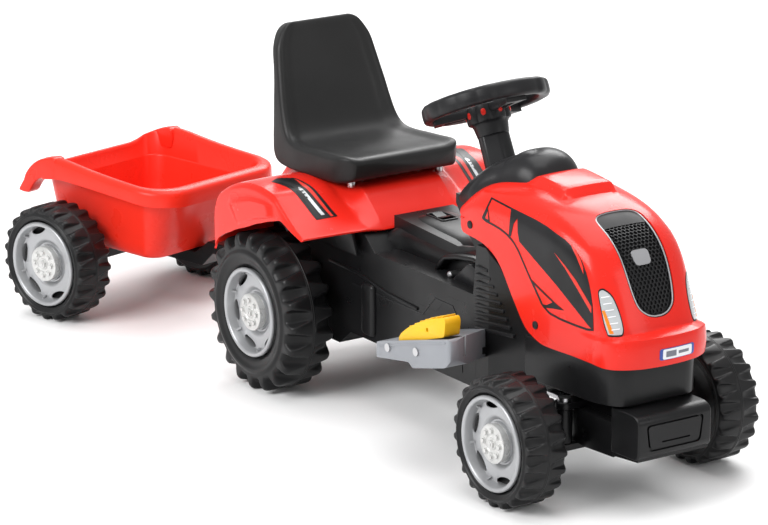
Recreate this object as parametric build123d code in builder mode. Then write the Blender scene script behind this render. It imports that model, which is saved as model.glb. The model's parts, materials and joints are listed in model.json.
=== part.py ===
"""Battery ride-on toy tractor with a towed tipper trailer, as an assembly of separate pieces.

Millimetres, +Z up, +X forwards, +Y to the driver's left. The tractor is drawn with the ground point
under its rear axle as local origin, the trailer with the ground point under its own axle. Both are then
placed so that the finished model's origin is the centre of its footprint on the ground.
"""

import os
from math import atan2, cos, degrees, pi, radians, sin, sqrt, tan

from build123d import *

os.makedirs("parts", exist_ok=True)

# ---------------------------------------------------------------- driving dimensions
WHEELBASE = 617
OUTER_HALF = 201  # half the width over the wheels
REAR_R, REAR_W = 120, 82  # rear tyre radius and width
SMALL_R, SMALL_W = 91.5, 70  # front and trailer tyres
AXLE_R = 5
RUNNING = 0.05  # radial clearance of a shaft that turns in a hole
WALL = 3  # moulded plastic wall

# wheel, measured along its own axis from the outer face of the tyre inwards
RIM_SEAT_R, RIM_LIP_R, RIM_DEPTH = 64, 67.5, 29
AXLE_END_INSET = 16

# chassis
CHASSIS_HALF = 98
BELLY_Z, SEAM_Z, DECK_Z, LEDGE_Z = 104, 192, 262, 240
GEARBOX_BELLY_Z = 80

# steering
COLUMN_TILT = 26  # degrees from the vertical, leaning back to the driver
COLUMN_TOP = (320, 480)  # X and Z of the steering wheel's centre
COLUMN_LENGTH = 440
PITMAN_ARM = 29
KNUCKLE_ARM = 50
KINGPIN_Y = 75
KINGPIN_R = 5

# hitch and trailer
HITCH_X, HITCH_Z = -150, 128
TRAILER_YAW = 13.6  # degrees, the trailer's heading at rest
HITCH_TO_AXLE = 383
TRAILER_FLOOR_Z = 112

# ---------------------------------------------------------------- placing
pieces = {}  # name: finished shape in the tractor's local frame


def keep(name, shape, place=Location()):
    """Stores a finished piece under its node name, moved to its place in the tractor's local frame."""
    piece = shape.moved(place)
    piece.label = name
    pieces[name] = piece


def face_from(points, plane=Plane.XZ):
    """Closed polygon as a sketch face. On Plane.XZ the points are (x, z)."""
    with BuildSketch(plane) as sketch:
        with BuildLine():
            Polyline(*points, close=True)
        make_face()
    return sketch.sketch


def round_face(radius, centre, plane):
    """Disc on a plane, at local coordinates centre."""
    with BuildSketch(plane) as sketch:
        with Locations(centre):
            Circle(radius)
    return sketch.sketch


def side_plane(y):
    """Plane at that Y that looks to the tractor's right, with local axes X and Z."""
    return Plane(origin=(0, y, 0), x_dir=(1, 0, 0), z_dir=(0, -1, 0))


def hollow(face, shift):
    """The face's inside, one wall smaller all round and opened down (or up) by the shift along Z."""
    inner = offset(face, amount=-WALL, kind=Kind.INTERSECTION)
    return inner + inner.moved(Location((0, 0, shift)))


def wheel_place(x, side, z):
    """Wheel frame: outward is local +Z and down is local +X. side is -1 for the right, +1 for the left."""
    return Plane(origin=(x, side * OUTER_HALF, z), x_dir=(0, 0, -1), z_dir=(0, side, 0)).location


column_axis = Vector(-sin(radians(COLUMN_TILT)), 0, cos(radians(COLUMN_TILT)))
column_top = Vector(COLUMN_TOP[0], 0, COLUMN_TOP[1])
column_forward = Vector(cos(radians(COLUMN_TILT)), 0, sin(radians(COLUMN_TILT)))
COLUMN = Plane(origin=column_top, x_dir=column_forward, z_dir=column_axis)
trailer_frame = Location((HITCH_X, 0, 0), (0, 0, 1), TRAILER_YAW) * Location((-HITCH_TO_AXLE, 0, 0))


# ---------------------------------------------------------------- wheels
def make_tyre(radius, width, lug_count, lug_depth, lug_width):
    """Blow-moulded tyre with its hub, two staggered rows of tread lugs and a seat for the rim dish."""
    root = radius - lug_depth
    hub_r, inner_dish = 22, 16
    shoulder, groove, face_step, skin = 9, 5, 4, 4
    with BuildPart() as tyre:
        with BuildSketch(Plane.XZ):
            with BuildLine():
                Polyline(
                    (AXLE_R + RUNNING, -width),
                    (hub_r, -width),
                    (hub_r, inner_dish - width),
                    (RIM_SEAT_R - 6, inner_dish - width),
                    (RIM_SEAT_R, -width),
                    (root - shoulder, -width),
                    (root, shoulder - width),
                    (root, -shoulder),
                    (root - shoulder, 0),
                    (RIM_LIP_R + 4, 0),
                    (RIM_LIP_R + 1, -face_step),
                    (RIM_SEAT_R, -face_step),
                    (RIM_SEAT_R, -RIM_DEPTH),
                    (AXLE_R + RUNNING, -RIM_DEPTH),
                    close=True,
                )
            make_face()
            with BuildLine():  # sealed air space of the blow moulding
                Polyline(
                    (hub_r + skin, -RIM_DEPTH - skin),
                    (hub_r + skin, inner_dish + skin - width),
                    (RIM_SEAT_R - skin, inner_dish + skin - width),
                    (RIM_SEAT_R + skin, skin - width),
                    (root - shoulder - 1, skin - width),
                    (root - skin, shoulder + 1 - width),
                    (root - skin, -shoulder - 1),
                    (root - shoulder - 1, -skin),
                    (RIM_LIP_R + 5, -skin),
                    (RIM_SEAT_R + skin, -face_step - skin),
                    (RIM_SEAT_R + skin, -RIM_DEPTH - skin),
                    close=True,
                )
            make_face(mode=Mode.SUBTRACT)
        revolve(axis=Axis.Z)
        row = (width - groove) / 2 - 1
        half_pitch = 180 / lug_count
        for bottom, turn in ((-1 - row, 0), (1 - width, half_pitch)):
            with BuildSketch(Plane.XY.offset(bottom)):
                with PolarLocations(root, lug_count, start_angle=turn):
                    Rectangle(2 * lug_depth, lug_width)
            extrude(amount=row)
    return tyre.part


def make_rim(turn):
    """Pressed-in rim dish with a rolled lip and six slots round its floor. turn is the first slot's angle."""
    slots, slot_half, slot_circle = 6, (4.6, 12), 52.5
    with BuildPart() as rim:
        with BuildSketch(Plane.XZ):
            with BuildLine():
                Polyline(
                    (12, -20),
                    (12, -15.8),
                    (29, -15.8),
                    (31, -19),
                    (37, -14),
                    (58, -14),
                    (61, -1.5),
                    (RIM_LIP_R, -1.5),
                    (RIM_LIP_R, -4),
                    (RIM_SEAT_R, -4),
                    (RIM_SEAT_R, -27),
                    (60.5, -27),
                    (57, -17),
                    (37, -17),
                    (31, -22.5),
                    (28, -22.5),
                    (28, -20),
                    close=True,
                )
            make_face()
        revolve(axis=Axis.Z)
        with BuildSketch(Plane.XY.offset(-20)):
            with PolarLocations(slot_circle, slots, start_angle=turn):
                Ellipse(*slot_half)
        extrude(amount=12, mode=Mode.SUBTRACT)
    return rim.part


def make_hub_cap():
    """Centre cap with a ring of moulded bolt heads and a raised centre."""
    cap_r, bolt_circle, bolt_r, centre_r = 27, 18.5, 3.4, 7
    with BuildPart() as cap:
        with BuildSketch(Plane.XY.offset(-15.8)):
            Circle(cap_r)
        extrude(amount=13.3)
        chamfer(cap.faces().sort_by(Axis.Z)[-1].edges(), 1.5)
        with BuildSketch(Plane.XY.offset(-3)):
            with PolarLocations(bolt_circle, 8):
                RegularPolygon(bolt_r, 6)
            Circle(centre_r)
        extrude(amount=2.5)
    return cap.part


big_tyre = make_tyre(REAR_R, REAR_W, lug_count=20, lug_depth=8, lug_width=20)
small_tyre = make_tyre(SMALL_R, SMALL_W, lug_count=22, lug_depth=6, lug_width=14)
hub_cap = make_hub_cap()
REAR_SLOT, FRONT_SLOT, TRAILER_SLOT = 42, 14.5, 23  # first rim slot's angle from straight down

wheels = {
    "rear_{}_right": (big_tyre, REAR_SLOT, wheel_place(0, -1, REAR_R)),
    "rear_{}_left": (big_tyre, REAR_SLOT, wheel_place(0, 1, REAR_R)),
    "front_{}_right": (small_tyre, FRONT_SLOT, wheel_place(WHEELBASE, -1, SMALL_R)),
    "front_{}_left": (small_tyre, FRONT_SLOT, wheel_place(WHEELBASE, 1, SMALL_R)),
    "trailer_{}_right": (small_tyre, TRAILER_SLOT, trailer_frame * wheel_place(0, -1, SMALL_R)),
    "trailer_{}_left": (small_tyre, TRAILER_SLOT, trailer_frame * wheel_place(0, 1, SMALL_R)),
}
for name, (tyre, slot_angle, place) in wheels.items():
    keep(name.format("tyre"), tyre, place)
    keep(name.format("rim"), make_rim(slot_angle), place)
    keep(name.format("cap"), hub_cap, place)

# ---------------------------------------------------------------- rear axle and gearbox
AXLE_HALF = OUTER_HALF - AXLE_END_INSET
END_R = 10
with BuildPart() as rear_axle:
    extrude(round_face(AXLE_R, (0, REAR_R), Plane.XZ), amount=AXLE_HALF, both=True)
    for side in (-1, 1):  # upset ends that keep the wheels on
        extrude(round_face(END_R, (0, REAR_R), side_plane(side * (AXLE_HALF - 6) + 5)), amount=10)
keep("rear_axle", rear_axle.part)

MODULE = 1.5
DRIVE_TEETH, IDLER_SMALL, IDLER_LARGE, PINION_TEETH = 36, 12, 30, 10
PRESSURE = radians(20)
BACKLASH = 0.25


def gear_face(teeth, plane, centre, turn):
    """Involute spur gear as a sketch face. turn is the angle of its first tooth, in degrees."""
    pitch_r = MODULE * teeth / 2
    base_r, tip_r, root_r = pitch_r * cos(PRESSURE), pitch_r + 0.9 * MODULE, pitch_r - 1.3 * MODULE
    half_tooth = pi / (2 * teeth) - BACKLASH / (2 * pitch_r) + tan(PRESSURE) - PRESSURE

    def flank(radius):
        roll = sqrt(max((radius / base_r) ** 2 - 1, 0))
        return half_tooth - (roll - atan2(roll, 1))

    start_r = max(base_r, root_r)
    radii = [start_r + (tip_r - start_r) * step / 4 for step in range(5)]
    outline = []
    for tooth in range(teeth):
        middle = 2 * pi * tooth / teeth + radians(turn)
        outline += [(root_r, middle - flank(start_r))] + [(r, middle - flank(r)) for r in radii]
        outline += [(r, middle + flank(r)) for r in reversed(radii)] + [(root_r, middle + flank(start_r))]
    points = [(centre[0] + r * cos(a), centre[1] + r * sin(a)) for r, a in outline]
    return face_from(points, plane)


drive_centre = (0, REAR_R)
idler_angle = radians(60)
idler_reach = MODULE * (DRIVE_TEETH + IDLER_SMALL) / 2
idler_centre = (idler_reach * cos(idler_angle), REAR_R + idler_reach * sin(idler_angle))
pinion_reach = MODULE * (IDLER_LARGE + PINION_TEETH) / 2
pinion_centre = (idler_centre[0] + pinion_reach, idler_centre[1])

SLEEVE_R = 13
WHEEL_INNER_Y = OUTER_HALF - REAR_W
WHEEL_INNER_SMALL_Y = OUTER_HALF - SMALL_W
BOX_OUT_Y, BOX_IN_Y = -84, -46  # outer and inner faces of the gearbox
with BuildPart() as drive_gear:
    extrude(gear_face(DRIVE_TEETH, side_plane(-66), drive_centre, turn=degrees(idler_angle)), amount=12)
    extrude(round_face(SLEEVE_R, drive_centre, side_plane(-78)), amount=WHEEL_INNER_Y - 78)
    bore = round_face(AXLE_R + RUNNING, drive_centre, side_plane(-60))
    extrude(bore, amount=WHEEL_INNER_Y - 60, mode=Mode.SUBTRACT)
keep("drive_gear", drive_gear.part)

IDLER_SHAFT_R = 2.5
with BuildPart() as idler_gear:
    tooth_gap = 180 / IDLER_SMALL  # a gap of the small gear faces the drive gear
    small_turn = degrees(idler_angle) + 180 + tooth_gap
    extrude(gear_face(IDLER_SMALL, side_plane(-65), idler_centre, small_turn), amount=13)
    extrude(gear_face(IDLER_LARGE, side_plane(-54), idler_centre, turn=0), amount=9)
    extrude(round_face(5, idler_centre, side_plane(-62)), amount=4)
    extrude(round_face(IDLER_SHAFT_R, idler_centre, side_plane(-48)), amount=35)
keep("idler_gear", idler_gear.part)

MOTOR_SHAFT_R = 1.5
with BuildPart() as motor_pinion:
    extrude(gear_face(PINION_TEETH, side_plane(-53), pinion_centre, 180 + 180 / PINION_TEETH), amount=10)
    extrude(round_face(MOTOR_SHAFT_R, pinion_centre, side_plane(-30)), amount=25)
keep("motor_pinion", motor_pinion.part)

with BuildPart() as gearbox_housing:
    extrude(
        face_from([(-34, 86), (34, 86), (64, 132), (64, 180), (-12, 180), (-34, 150)], side_plane(BOX_IN_Y)),
        amount=BOX_IN_Y - BOX_OUT_Y,
    )
    box_inside = [(-31, 89), (32, 89), (61, 133), (61, 177), (-10, 177), (-31, 149)]
    extrude(
        face_from(box_inside, side_plane(BOX_IN_Y - WALL)),
        amount=BOX_IN_Y - BOX_OUT_Y - 2 * WALL,
        mode=Mode.SUBTRACT,
    )
    for radius, centre, start, length in (
        (AXLE_R + RUNNING, drive_centre, BOX_IN_Y + 1, 20),
        (SLEEVE_R + RUNNING, drive_centre, BOX_OUT_Y + WALL + 1, 10),
        (IDLER_SHAFT_R + RUNNING, idler_centre, BOX_IN_Y + 1, 40),
        (MOTOR_SHAFT_R + RUNNING, pinion_centre, BOX_IN_Y + 1, 5),
    ):
        extrude(round_face(radius, centre, side_plane(start)), amount=length, mode=Mode.SUBTRACT)
keep("gearbox_housing", gearbox_housing.part)

MOTOR_R, MOTOR_LENGTH = 18, 58
with BuildPart() as motor:
    extrude(round_face(MOTOR_R, pinion_centre, side_plane(BOX_IN_Y + MOTOR_LENGTH)), amount=MOTOR_LENGTH)
    chamfer(motor.faces().sort_by(Axis.Y)[-1].edges(), 3)
    shaft_hole = round_face(MOTOR_SHAFT_R + RUNNING, pinion_centre, side_plane(BOX_IN_Y + 18))
    extrude(shaft_hole, amount=18, mode=Mode.SUBTRACT)
keep("motor", motor.part)

BUSH_R = 9
with BuildPart() as rear_axle_bush:
    extrude(round_face(BUSH_R, drive_centre, side_plane(WHEEL_INNER_Y - 1)), amount=26)
    extrude(round_face(14, drive_centre, side_plane(CHASSIS_HALF + 4)), amount=4)
    bush_bore = round_face(AXLE_R + RUNNING, drive_centre, side_plane(WHEEL_INNER_Y))
    extrude(bush_bore, amount=30, mode=Mode.SUBTRACT)
keep("rear_axle_bush", rear_axle_bush.part)

# ---------------------------------------------------------------- chassis shells
lower_outline = face_from(
    [
        (-104, GEARBOX_BELLY_Z + 12),
        (-92, GEARBOX_BELLY_Z),
        (92, GEARBOX_BELLY_Z),
        (122, BELLY_Z),
        (440, BELLY_Z),
        (438, SEAM_Z),
        (414, 222),
        (372, 222),
        (343, SEAM_Z),
        (-104, SEAM_Z),
    ]
)
with BuildPart() as chassis_lower:
    extrude(lower_outline, amount=CHASSIS_HALF, both=True)
    extrude(hollow(lower_outline, 2 * WALL), amount=CHASSIS_HALF - WALL, both=True, mode=Mode.SUBTRACT)
    sleeve_hole = round_face(SLEEVE_R + 0.5, drive_centre, side_plane(0))
    extrude(sleeve_hole, amount=CHASSIS_HALF + 1, mode=Mode.SUBTRACT)
    bush_hole = round_face(BUSH_R, drive_centre, side_plane(CHASSIS_HALF + 1))
    extrude(bush_hole, amount=CHASSIS_HALF, mode=Mode.SUBTRACT)
keep("chassis_lower", chassis_lower.part)

# The upper shell runs from the tail, along the foot ledge, up behind the dash and down round the front.
upper_outline = face_from(
    [
        (-104, SEAM_Z),
        (343, SEAM_Z),
        (372, 222),
        (414, 222),
        (438, SEAM_Z),
        (440, BELLY_Z),
        (520, 112),
        (598, 144),
        (727, 150),
        (727, 204),
        (570, 204),
        (546, 220),
        (516, 255),
        (490, 294),
        (462, 314),
        (440, 314),
        (432, LEDGE_Z),
        (186, LEDGE_Z),
        (160, DECK_Z),
        (-104, DECK_Z),
    ]
)
front_plan = face_from(
    [
        (-104, -CHASSIS_HALF),
        (470, -CHASSIS_HALF),
        (560, -80),
        (690, -76),
        (727, -60),
        (727, 60),
        (690, 76),
        (560, 80),
        (470, CHASSIS_HALF),
        (-104, CHASSIS_HALF),
    ],
    Plane.XY,
)
TUNNEL_HALF, TOWER_HALF, ENGINE_HALF = 52, 62, 74
ROCKER_HINGE = (215, 276)
engine_outline = face_from(
    [(443, 196), (446, 345), (560, 345), (640, 330), (690, 300), (718, 244), (718, 190)]
)
tunnel_outline = face_from([(168, 236), (168, 286), (330, 278), (436, 300), (436, 236)])
tower_outline = face_from([(420, 236), (385, 290), (338, 346), (338, 360), (470, 360), (470, 236)])
WEB_DEPTH = 330  # distance down the column to the web that carries the lower end of the rod
with BuildPart() as upper_solid:
    extrude(upper_outline, amount=CHASSIS_HALF, both=True)
    extrude(front_plan, amount=400, mode=Mode.INTERSECT)
with BuildPart() as upper_cavity:
    extrude(hollow(upper_outline, -2 * WALL), amount=CHASSIS_HALF - WALL, both=True)
    extrude(offset(front_plan, amount=-WALL, kind=Kind.INTERSECTION), amount=400, mode=Mode.INTERSECT)
with BuildPart() as engine_block:
    extrude(engine_outline, amount=ENGINE_HALF, both=True)
    extrude(front_plan, amount=400, mode=Mode.INTERSECT)
with BuildPart() as engine_cavity:
    extrude(hollow(engine_outline, -2 * WALL), amount=ENGINE_HALF - WALL, both=True)
    extrude(offset(front_plan, amount=-WALL, kind=Kind.INTERSECTION), amount=400, mode=Mode.INTERSECT)
with BuildPart() as rod_web:
    with BuildSketch(COLUMN.offset(-WEB_DEPTH)):
        with Locations((5, 0)):
            Rectangle(80, 2 * CHASSIS_HALF)
    extrude(amount=-4)
    add(upper_solid.part, mode=Mode.INTERSECT)
with BuildPart() as chassis_upper:
    add(upper_solid.part)
    extrude(tunnel_outline, amount=TUNNEL_HALF, both=True)
    extrude(tower_outline, amount=TOWER_HALF, both=True)
    add(engine_block.part)
    add(upper_cavity.part, mode=Mode.SUBTRACT)
    add(engine_cavity.part, mode=Mode.SUBTRACT)
    extrude(hollow(tunnel_outline, -2 * WALL), amount=TUNNEL_HALF - WALL, both=True, mode=Mode.SUBTRACT)
    extrude(hollow(tower_outline, -2 * WALL), amount=TOWER_HALF - WALL, both=True, mode=Mode.SUBTRACT)
    add(rod_web.part)
    with Locations(COLUMN.offset(-WEB_DEPTH)):  # lower bearing of the steering rod
        Cylinder(AXLE_R + RUNNING, 40, mode=Mode.SUBTRACT)
    with Locations(COLUMN.offset(-120)):  # clearance where the rod enters the tower
        Cylinder(9, 100, mode=Mode.SUBTRACT)
    for side in (-1, 1):  # ears of the direction rocker's hinge
        with Locations((ROCKER_HINGE[0], side * 12, ROCKER_HINGE[1])):
            Box(10, 4, 14)
    with Locations((ROCKER_HINGE[0], 0, 290)):
        Box(34, 20, 40, mode=Mode.SUBTRACT)
    extrude(round_face(2 + RUNNING, ROCKER_HINGE, Plane.XZ), amount=20, both=True, mode=Mode.SUBTRACT)
keep("chassis_upper", chassis_upper.part)

with BuildPart() as battery:
    with Locations((290, 0, BELLY_Z + WALL)):
        Box(100, 70, 80, align=(Align.CENTER, Align.CENTER, Align.MIN))
    fillet(battery.edges().filter_by(Axis.Z), 4)
    with Locations((260, 20, 187), (260, -20, 187)):
        Box(6, 5, 8, align=(Align.CENTER, Align.CENTER, Align.MIN))
keep("battery", battery.part)

# ---------------------------------------------------------------- rear body with wings
WING_OUT, BOX_HALF = 198, 69
SEAT_BASE_Z = 318
wing_top = [(153, 270), (123, 284), (100, 298), (67, 312), (40, 320)]
wing_top += [(0, 318), (-43, 303), (-86, 266), (-104, 236)]
wing_under = [(151, 264), (121, 281), (98, 295), (65, 309), (39, 317)]
wing_under += [(0, 315), (-41, 300), (-84, 262), (-102, 233)]
with BuildSketch(Plane.XZ) as wing_face:
    with BuildLine():
        crest = Spline(*wing_top)
        under = Spline(*wing_under)
        Line(crest @ 0, under @ 0)
        Line(crest @ 1, under @ 1)
    make_face()
with BuildSketch(Plane.XZ) as skirt_face:
    with BuildLine():
        crest = Spline(*wing_top)
        arch = Spline((-104, 236), (-57, 236), (10, 259), (80, 284), (120, 281), (153, 270))
    make_face()
box_outline = face_from([(-92, DECK_Z), (-92, SEAT_BASE_Z), (112, SEAT_BASE_Z), (165, 264), (165, DECK_Z)])
socket_place = Plane(origin=(-92, 0, 290), x_dir=(0, 1, 0), z_dir=(-1, 0, 0))
seat_bolts_at = [(10, 50), (10, -50), (80, 50), (80, -50)]
with BuildPart() as fender_shell:
    extrude(wing_face.sketch, amount=WING_OUT, both=True)
    extrude(skirt_face.sketch, amount=WING_OUT, both=True)
    extrude(skirt_face.sketch, amount=WING_OUT - WALL, both=True, mode=Mode.SUBTRACT)
    extrude(wing_face.sketch, amount=WING_OUT, both=True)
    Box(600, 2 * BOX_HALF, 800, mode=Mode.SUBTRACT)
    with Locations((0, 0, DECK_Z - 50)):  # the wings stop on the chassis deck
        Box(600, 2 * CHASSIS_HALF + 0.6, 100, mode=Mode.SUBTRACT)
    extrude(box_outline, amount=BOX_HALF, both=True)
    extrude(hollow(box_outline, -2 * WALL), amount=BOX_HALF - WALL, both=True, mode=Mode.SUBTRACT)
    with Locations(socket_place):  # hole for the charging socket
        Cylinder(6, 20, mode=Mode.SUBTRACT)
    with Locations([(x, y, SEAT_BASE_Z) for x, y in seat_bolts_at]):
        Cylinder(2, 20, mode=Mode.SUBTRACT)
keep("fender_shell", fender_shell.part)

SOCKET_BORE = 3
with BuildPart() as charge_socket:
    with BuildSketch(socket_place):
        Circle(9)
        Circle(SOCKET_BORE, mode=Mode.SUBTRACT)
    extrude(amount=2.5)
    with BuildSketch(socket_place):
        Circle(6)
        Circle(SOCKET_BORE, mode=Mode.SUBTRACT)
    extrude(amount=-14)
keep("charge_socket", charge_socket.part)

# ---------------------------------------------------------------- seat
seat_side = face_from(
    [
        (-92, 533),
        (-78, 535),
        (-64, 530),
        (-22, 400),
        (-8, 386),
        (40, 384),
        (119, 384),
        (127, 376),
        (116, SEAT_BASE_Z),
        (-40, SEAT_BASE_Z),
        (-72, 345),
        (-77, 424),
        (-96, 520),
    ]
)
back_plane = Plane(origin=(-200, 0, 0), x_dir=(0, 1, 0), z_dir=(1, 0, 0))
seat_front = face_from(
    [
        (-66, SEAT_BASE_Z),
        (-68, 323),
        (-104, 350),
        (-106, 400),
        (-96, 450),
        (-84, 510),
        (-66, 535),
        (66, 535),
        (84, 510),
        (96, 450),
        (106, 400),
        (104, 350),
        (68, 323),
        (66, SEAT_BASE_Z),
    ],
    back_plane,
)
dish_edge = [(-40, 520), (-58, 500), (-78, 440), (-78, 398), (78, 398), (78, 440), (58, 500), (40, 520)]
back_dish = face_from(dish_edge, back_plane)
pan_dish = face_from([(-34, 400), (-28, 366), (30, 352), (104, 362), (110, 400)])
dish_side = face_from([(-78, 520), (-44, 372), (-30, 352), (60, 352), (60, 520)])
with BuildPart() as seat:
    extrude(seat_side, amount=110, both=True)
    extrude(seat_front, amount=400, mode=Mode.INTERSECT)
    extrude(pan_dish, amount=82, both=True, mode=Mode.SUBTRACT)
    with BuildPart(mode=Mode.PRIVATE) as back_hollow:
        extrude(dish_side, amount=110, both=True)
        extrude(back_dish, amount=400, mode=Mode.INTERSECT)
    add(back_hollow.part, mode=Mode.SUBTRACT)
    with Locations((38, 0, SEAT_BASE_Z + 6)):  # hollow between the base plate and the pan
        Box(130, 120, 18, align=(Align.CENTER, Align.CENTER, Align.MIN), mode=Mode.SUBTRACT)
    with Locations([(x, y, SEAT_BASE_Z) for x, y in seat_bolts_at]):
        Cylinder(2, 20, mode=Mode.SUBTRACT)
keep("seat", seat.part)

with BuildPart() as seat_bolts:
    with Locations([(x, y, SEAT_BASE_Z - WALL) for x, y in seat_bolts_at]):
        Cylinder(5, 3, align=(Align.CENTER, Align.CENTER, Align.MAX))
        Cylinder(2, 9, align=(Align.CENTER, Align.CENTER, Align.MIN))
keep("seat_bolts", seat_bolts.part)

# ---------------------------------------------------------------- hood, grille and lamps
hood_side = face_from(
    [
        (381, 365),
        (403, 387),
        (429, 402),
        (470, 408),
        (552, 404),
        (621, 394),
        (665, 380),
        (700, 350),
        (727, 300),
        (742, 258),
        (762, 255),
        (764, 222),
        (749, 210),
        (700, 207),
        (574, 207),
        (549, 225),
        (519, 259),
        (493, 299),
        (463, 319),
        (399, 327),
        (394, 349),
    ]
)
HOOD_HALF = 95
hood_plan = face_from(
    [
        (370, -HOOD_HALF),
        (500, -HOOD_HALF),
        (700, -85),
        (735, -76),
        (764, -40),
        (764, 40),
        (735, 76),
        (700, 85),
        (500, HOOD_HALF),
        (370, HOOD_HALF),
    ],
    Plane.XY,
)
hood_front = face_from(
    [
        (-HOOD_HALF, 190),
        (-HOOD_HALF, 352),
        (-82, 380),
        (-50, 403),
        (-30, 410),
        (30, 410),
        (50, 403),
        (82, 380),
        (HOOD_HALF, 352),
        (HOOD_HALF, 190),
    ],
    back_plane,
)
grille_plane = Plane(origin=(714, 0, 320), x_dir=(0, 1, 0), z_dir=(cos(radians(31)), 0, sin(radians(31))))
with BuildSketch(grille_plane) as grille_outline:
    with BuildLine():
        Polyline((-38, 62), (38, 62), (47, 20), (34, -58), (-34, -58), (-47, 20), close=True)
    make_face()
hood_screws_at = [(414, 341, HOOD_HALF), (566, 240, 92)]
with BuildPart() as hood_cavity:
    for drop in (8, 16, 32, 60):  # opens the hood downwards everywhere
        extrude(hollow(hood_side, -drop), amount=HOOD_HALF - WALL, both=True)
    extrude(offset(hood_plan, amount=-WALL, kind=Kind.INTERSECTION), amount=500, mode=Mode.INTERSECT)
    extrude(offset(hood_front, amount=-WALL, kind=Kind.INTERSECTION), amount=1100, mode=Mode.INTERSECT)
scoop_outline = face_from([(478, 395), (484, 408), (529, 419), (552, 414), (582, 400), (590, 390)])
with BuildPart() as hood:
    extrude(hood_side, amount=HOOD_HALF, both=True)
    extrude(hood_plan, amount=500, mode=Mode.INTERSECT)
    extrude(hood_front, amount=1100, mode=Mode.INTERSECT)
    extrude(scoop_outline, amount=44, both=True)
    add(hood_cavity.part, mode=Mode.SUBTRACT)
    extrude(offset(grille_outline.sketch, amount=-3), amount=60, both=True, mode=Mode.SUBTRACT)
    with Locations((430, 0, 400)):  # opening under the dash cover
        Box(120, 92, 80, mode=Mode.SUBTRACT)
    extrude(offset(tower_outline, amount=0.5), amount=TOWER_HALF + 0.5, both=True, mode=Mode.SUBTRACT)
    for x, z, y in hood_screws_at:
        extrude(round_face(2, (x, z), Plane.XZ), amount=110, both=True, mode=Mode.SUBTRACT)
keep("hood", hood.part)

with BuildPart() as hood_screws:
    for x, z, y in hood_screws_at:
        for side in (-1, 1):
            face_y = side * (y + 2.5)
            extrude(round_face(5, (x, z), side_plane(face_y)), amount=side * 2.5)
            extrude(round_face(2, (x, z), side_plane(face_y)), amount=side * 11)
keep("hood_screws", hood_screws.part)

with BuildPart() as grille:
    with BuildSketch(grille_plane.offset(-2)):
        add(offset(grille_outline.sketch.moved(grille_plane.location.inverse()), amount=-3))
    extrude(amount=-4)
    with BuildSketch(grille_plane.offset(-1)):
        with HexLocations(6.2, 7, 9):
            RegularPolygon(5.2, 6)
    extrude(amount=-8, mode=Mode.SUBTRACT)
keep("grille", grille.part)

lamp_outline = face_from([(700, 308), (714, 313), (748, 267), (728, 255)])
with BuildPart() as headlamps:
    for side in (-1, 1):
        extrude(lamp_outline.moved(Location((0, side * 88, 0))), amount=3, both=True)
keep("headlamps", headlamps.part)

dash_side = face_from(
    [
        (333, 363),
        (350, 388),
        (394, 420),
        (429, 435),
        (464, 444),
        (488, 444),
        (488, 380),
        (392, 368),
        (380, 361),
    ]
)
DASH_HALF = 44
with BuildPart() as dash_cover:
    extrude(dash_side, amount=DASH_HALF, both=True)
    top_faces = dash_cover.faces().filter_by(lambda f: f.normal_at().Z > 0.3)
    chamfer(top_faces.edges().filter_by(Axis.Y, reverse=True), 6)
    extrude(hollow(dash_side, -2 * WALL), amount=DASH_HALF - WALL - 2, both=True, mode=Mode.SUBTRACT)
    with Locations(COLUMN.offset(-110)):
        Cylinder(22, 70, mode=Mode.SUBTRACT)
keep("dash_cover", dash_cover.part)

# ---------------------------------------------------------------- steering
WHEEL_OUT_R, WHEEL_RING_R, RING_HALF = 93.5, 11, 12
HUB_DROP = 16  # the hub's seat lies this far below the ring's middle
with BuildPart() as column_tube:
    with BuildSketch(COLUMN.offset(-36)):
        Ellipse(18, 22)
        Circle(AXLE_R + RUNNING, mode=Mode.SUBTRACT)
    extrude(amount=-85)
keep("column_tube", column_tube.part)

with BuildPart() as steering_rod:
    with BuildSketch(COLUMN.offset(-COLUMN_LENGTH + 45)):
        Circle(AXLE_R)
    extrude(amount=COLUMN_LENGTH - 45 - HUB_DROP)
    with BuildSketch(COLUMN.offset(-395)):
        Circle(8)
        with Locations((-PITMAN_ARM / 2, 0)):
            Rectangle(PITMAN_ARM, 12)
        with Locations((-PITMAN_ARM, 0)):
            Circle(6)
    extrude(amount=10)
    with BuildSketch(COLUMN.offset(-395)):
        with Locations((-PITMAN_ARM, 0)):
            Circle(3)
    extrude(amount=-30)
keep("steering_rod", steering_rod.part)

button_at = [(-4, 15), (-4, -15)]
with BuildPart() as steering_wheel:
    with BuildSketch(COLUMN * Plane.XZ):
        with Locations((WHEEL_OUT_R - WHEEL_RING_R, 0)):
            Ellipse(WHEEL_RING_R, RING_HALF)
    revolve(axis=Axis(COLUMN.origin, COLUMN.z_dir))
    with BuildSketch(COLUMN.offset(-34)):
        Circle(20)
    extrude(amount=6, taper=-30)
    with BuildSketch(COLUMN.offset(-28)):
        Circle(30)
    extrude(amount=22)
    with BuildSketch(COLUMN.offset(-24)):
        with PolarLocations(50, 3, start_angle=0):
            Rectangle(60, 26)
    extrude(amount=16)
    with BuildSketch(COLUMN.offset(-HUB_DROP)):
        Circle(26)
    extrude(amount=30, mode=Mode.SUBTRACT)
    with BuildSketch(COLUMN.offset(-60)):
        Circle(AXLE_R)
    extrude(amount=60, mode=Mode.SUBTRACT)
keep("steering_wheel", steering_wheel.part)

BUTTON_R = 8
with BuildPart() as hub_insert:
    with BuildSketch(COLUMN.offset(-HUB_DROP)):
        Circle(25.6)
        with Locations(*button_at):
            Circle(BUTTON_R + 0.3, mode=Mode.SUBTRACT)
    extrude(amount=9)
keep("hub_insert", hub_insert.part)

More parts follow.
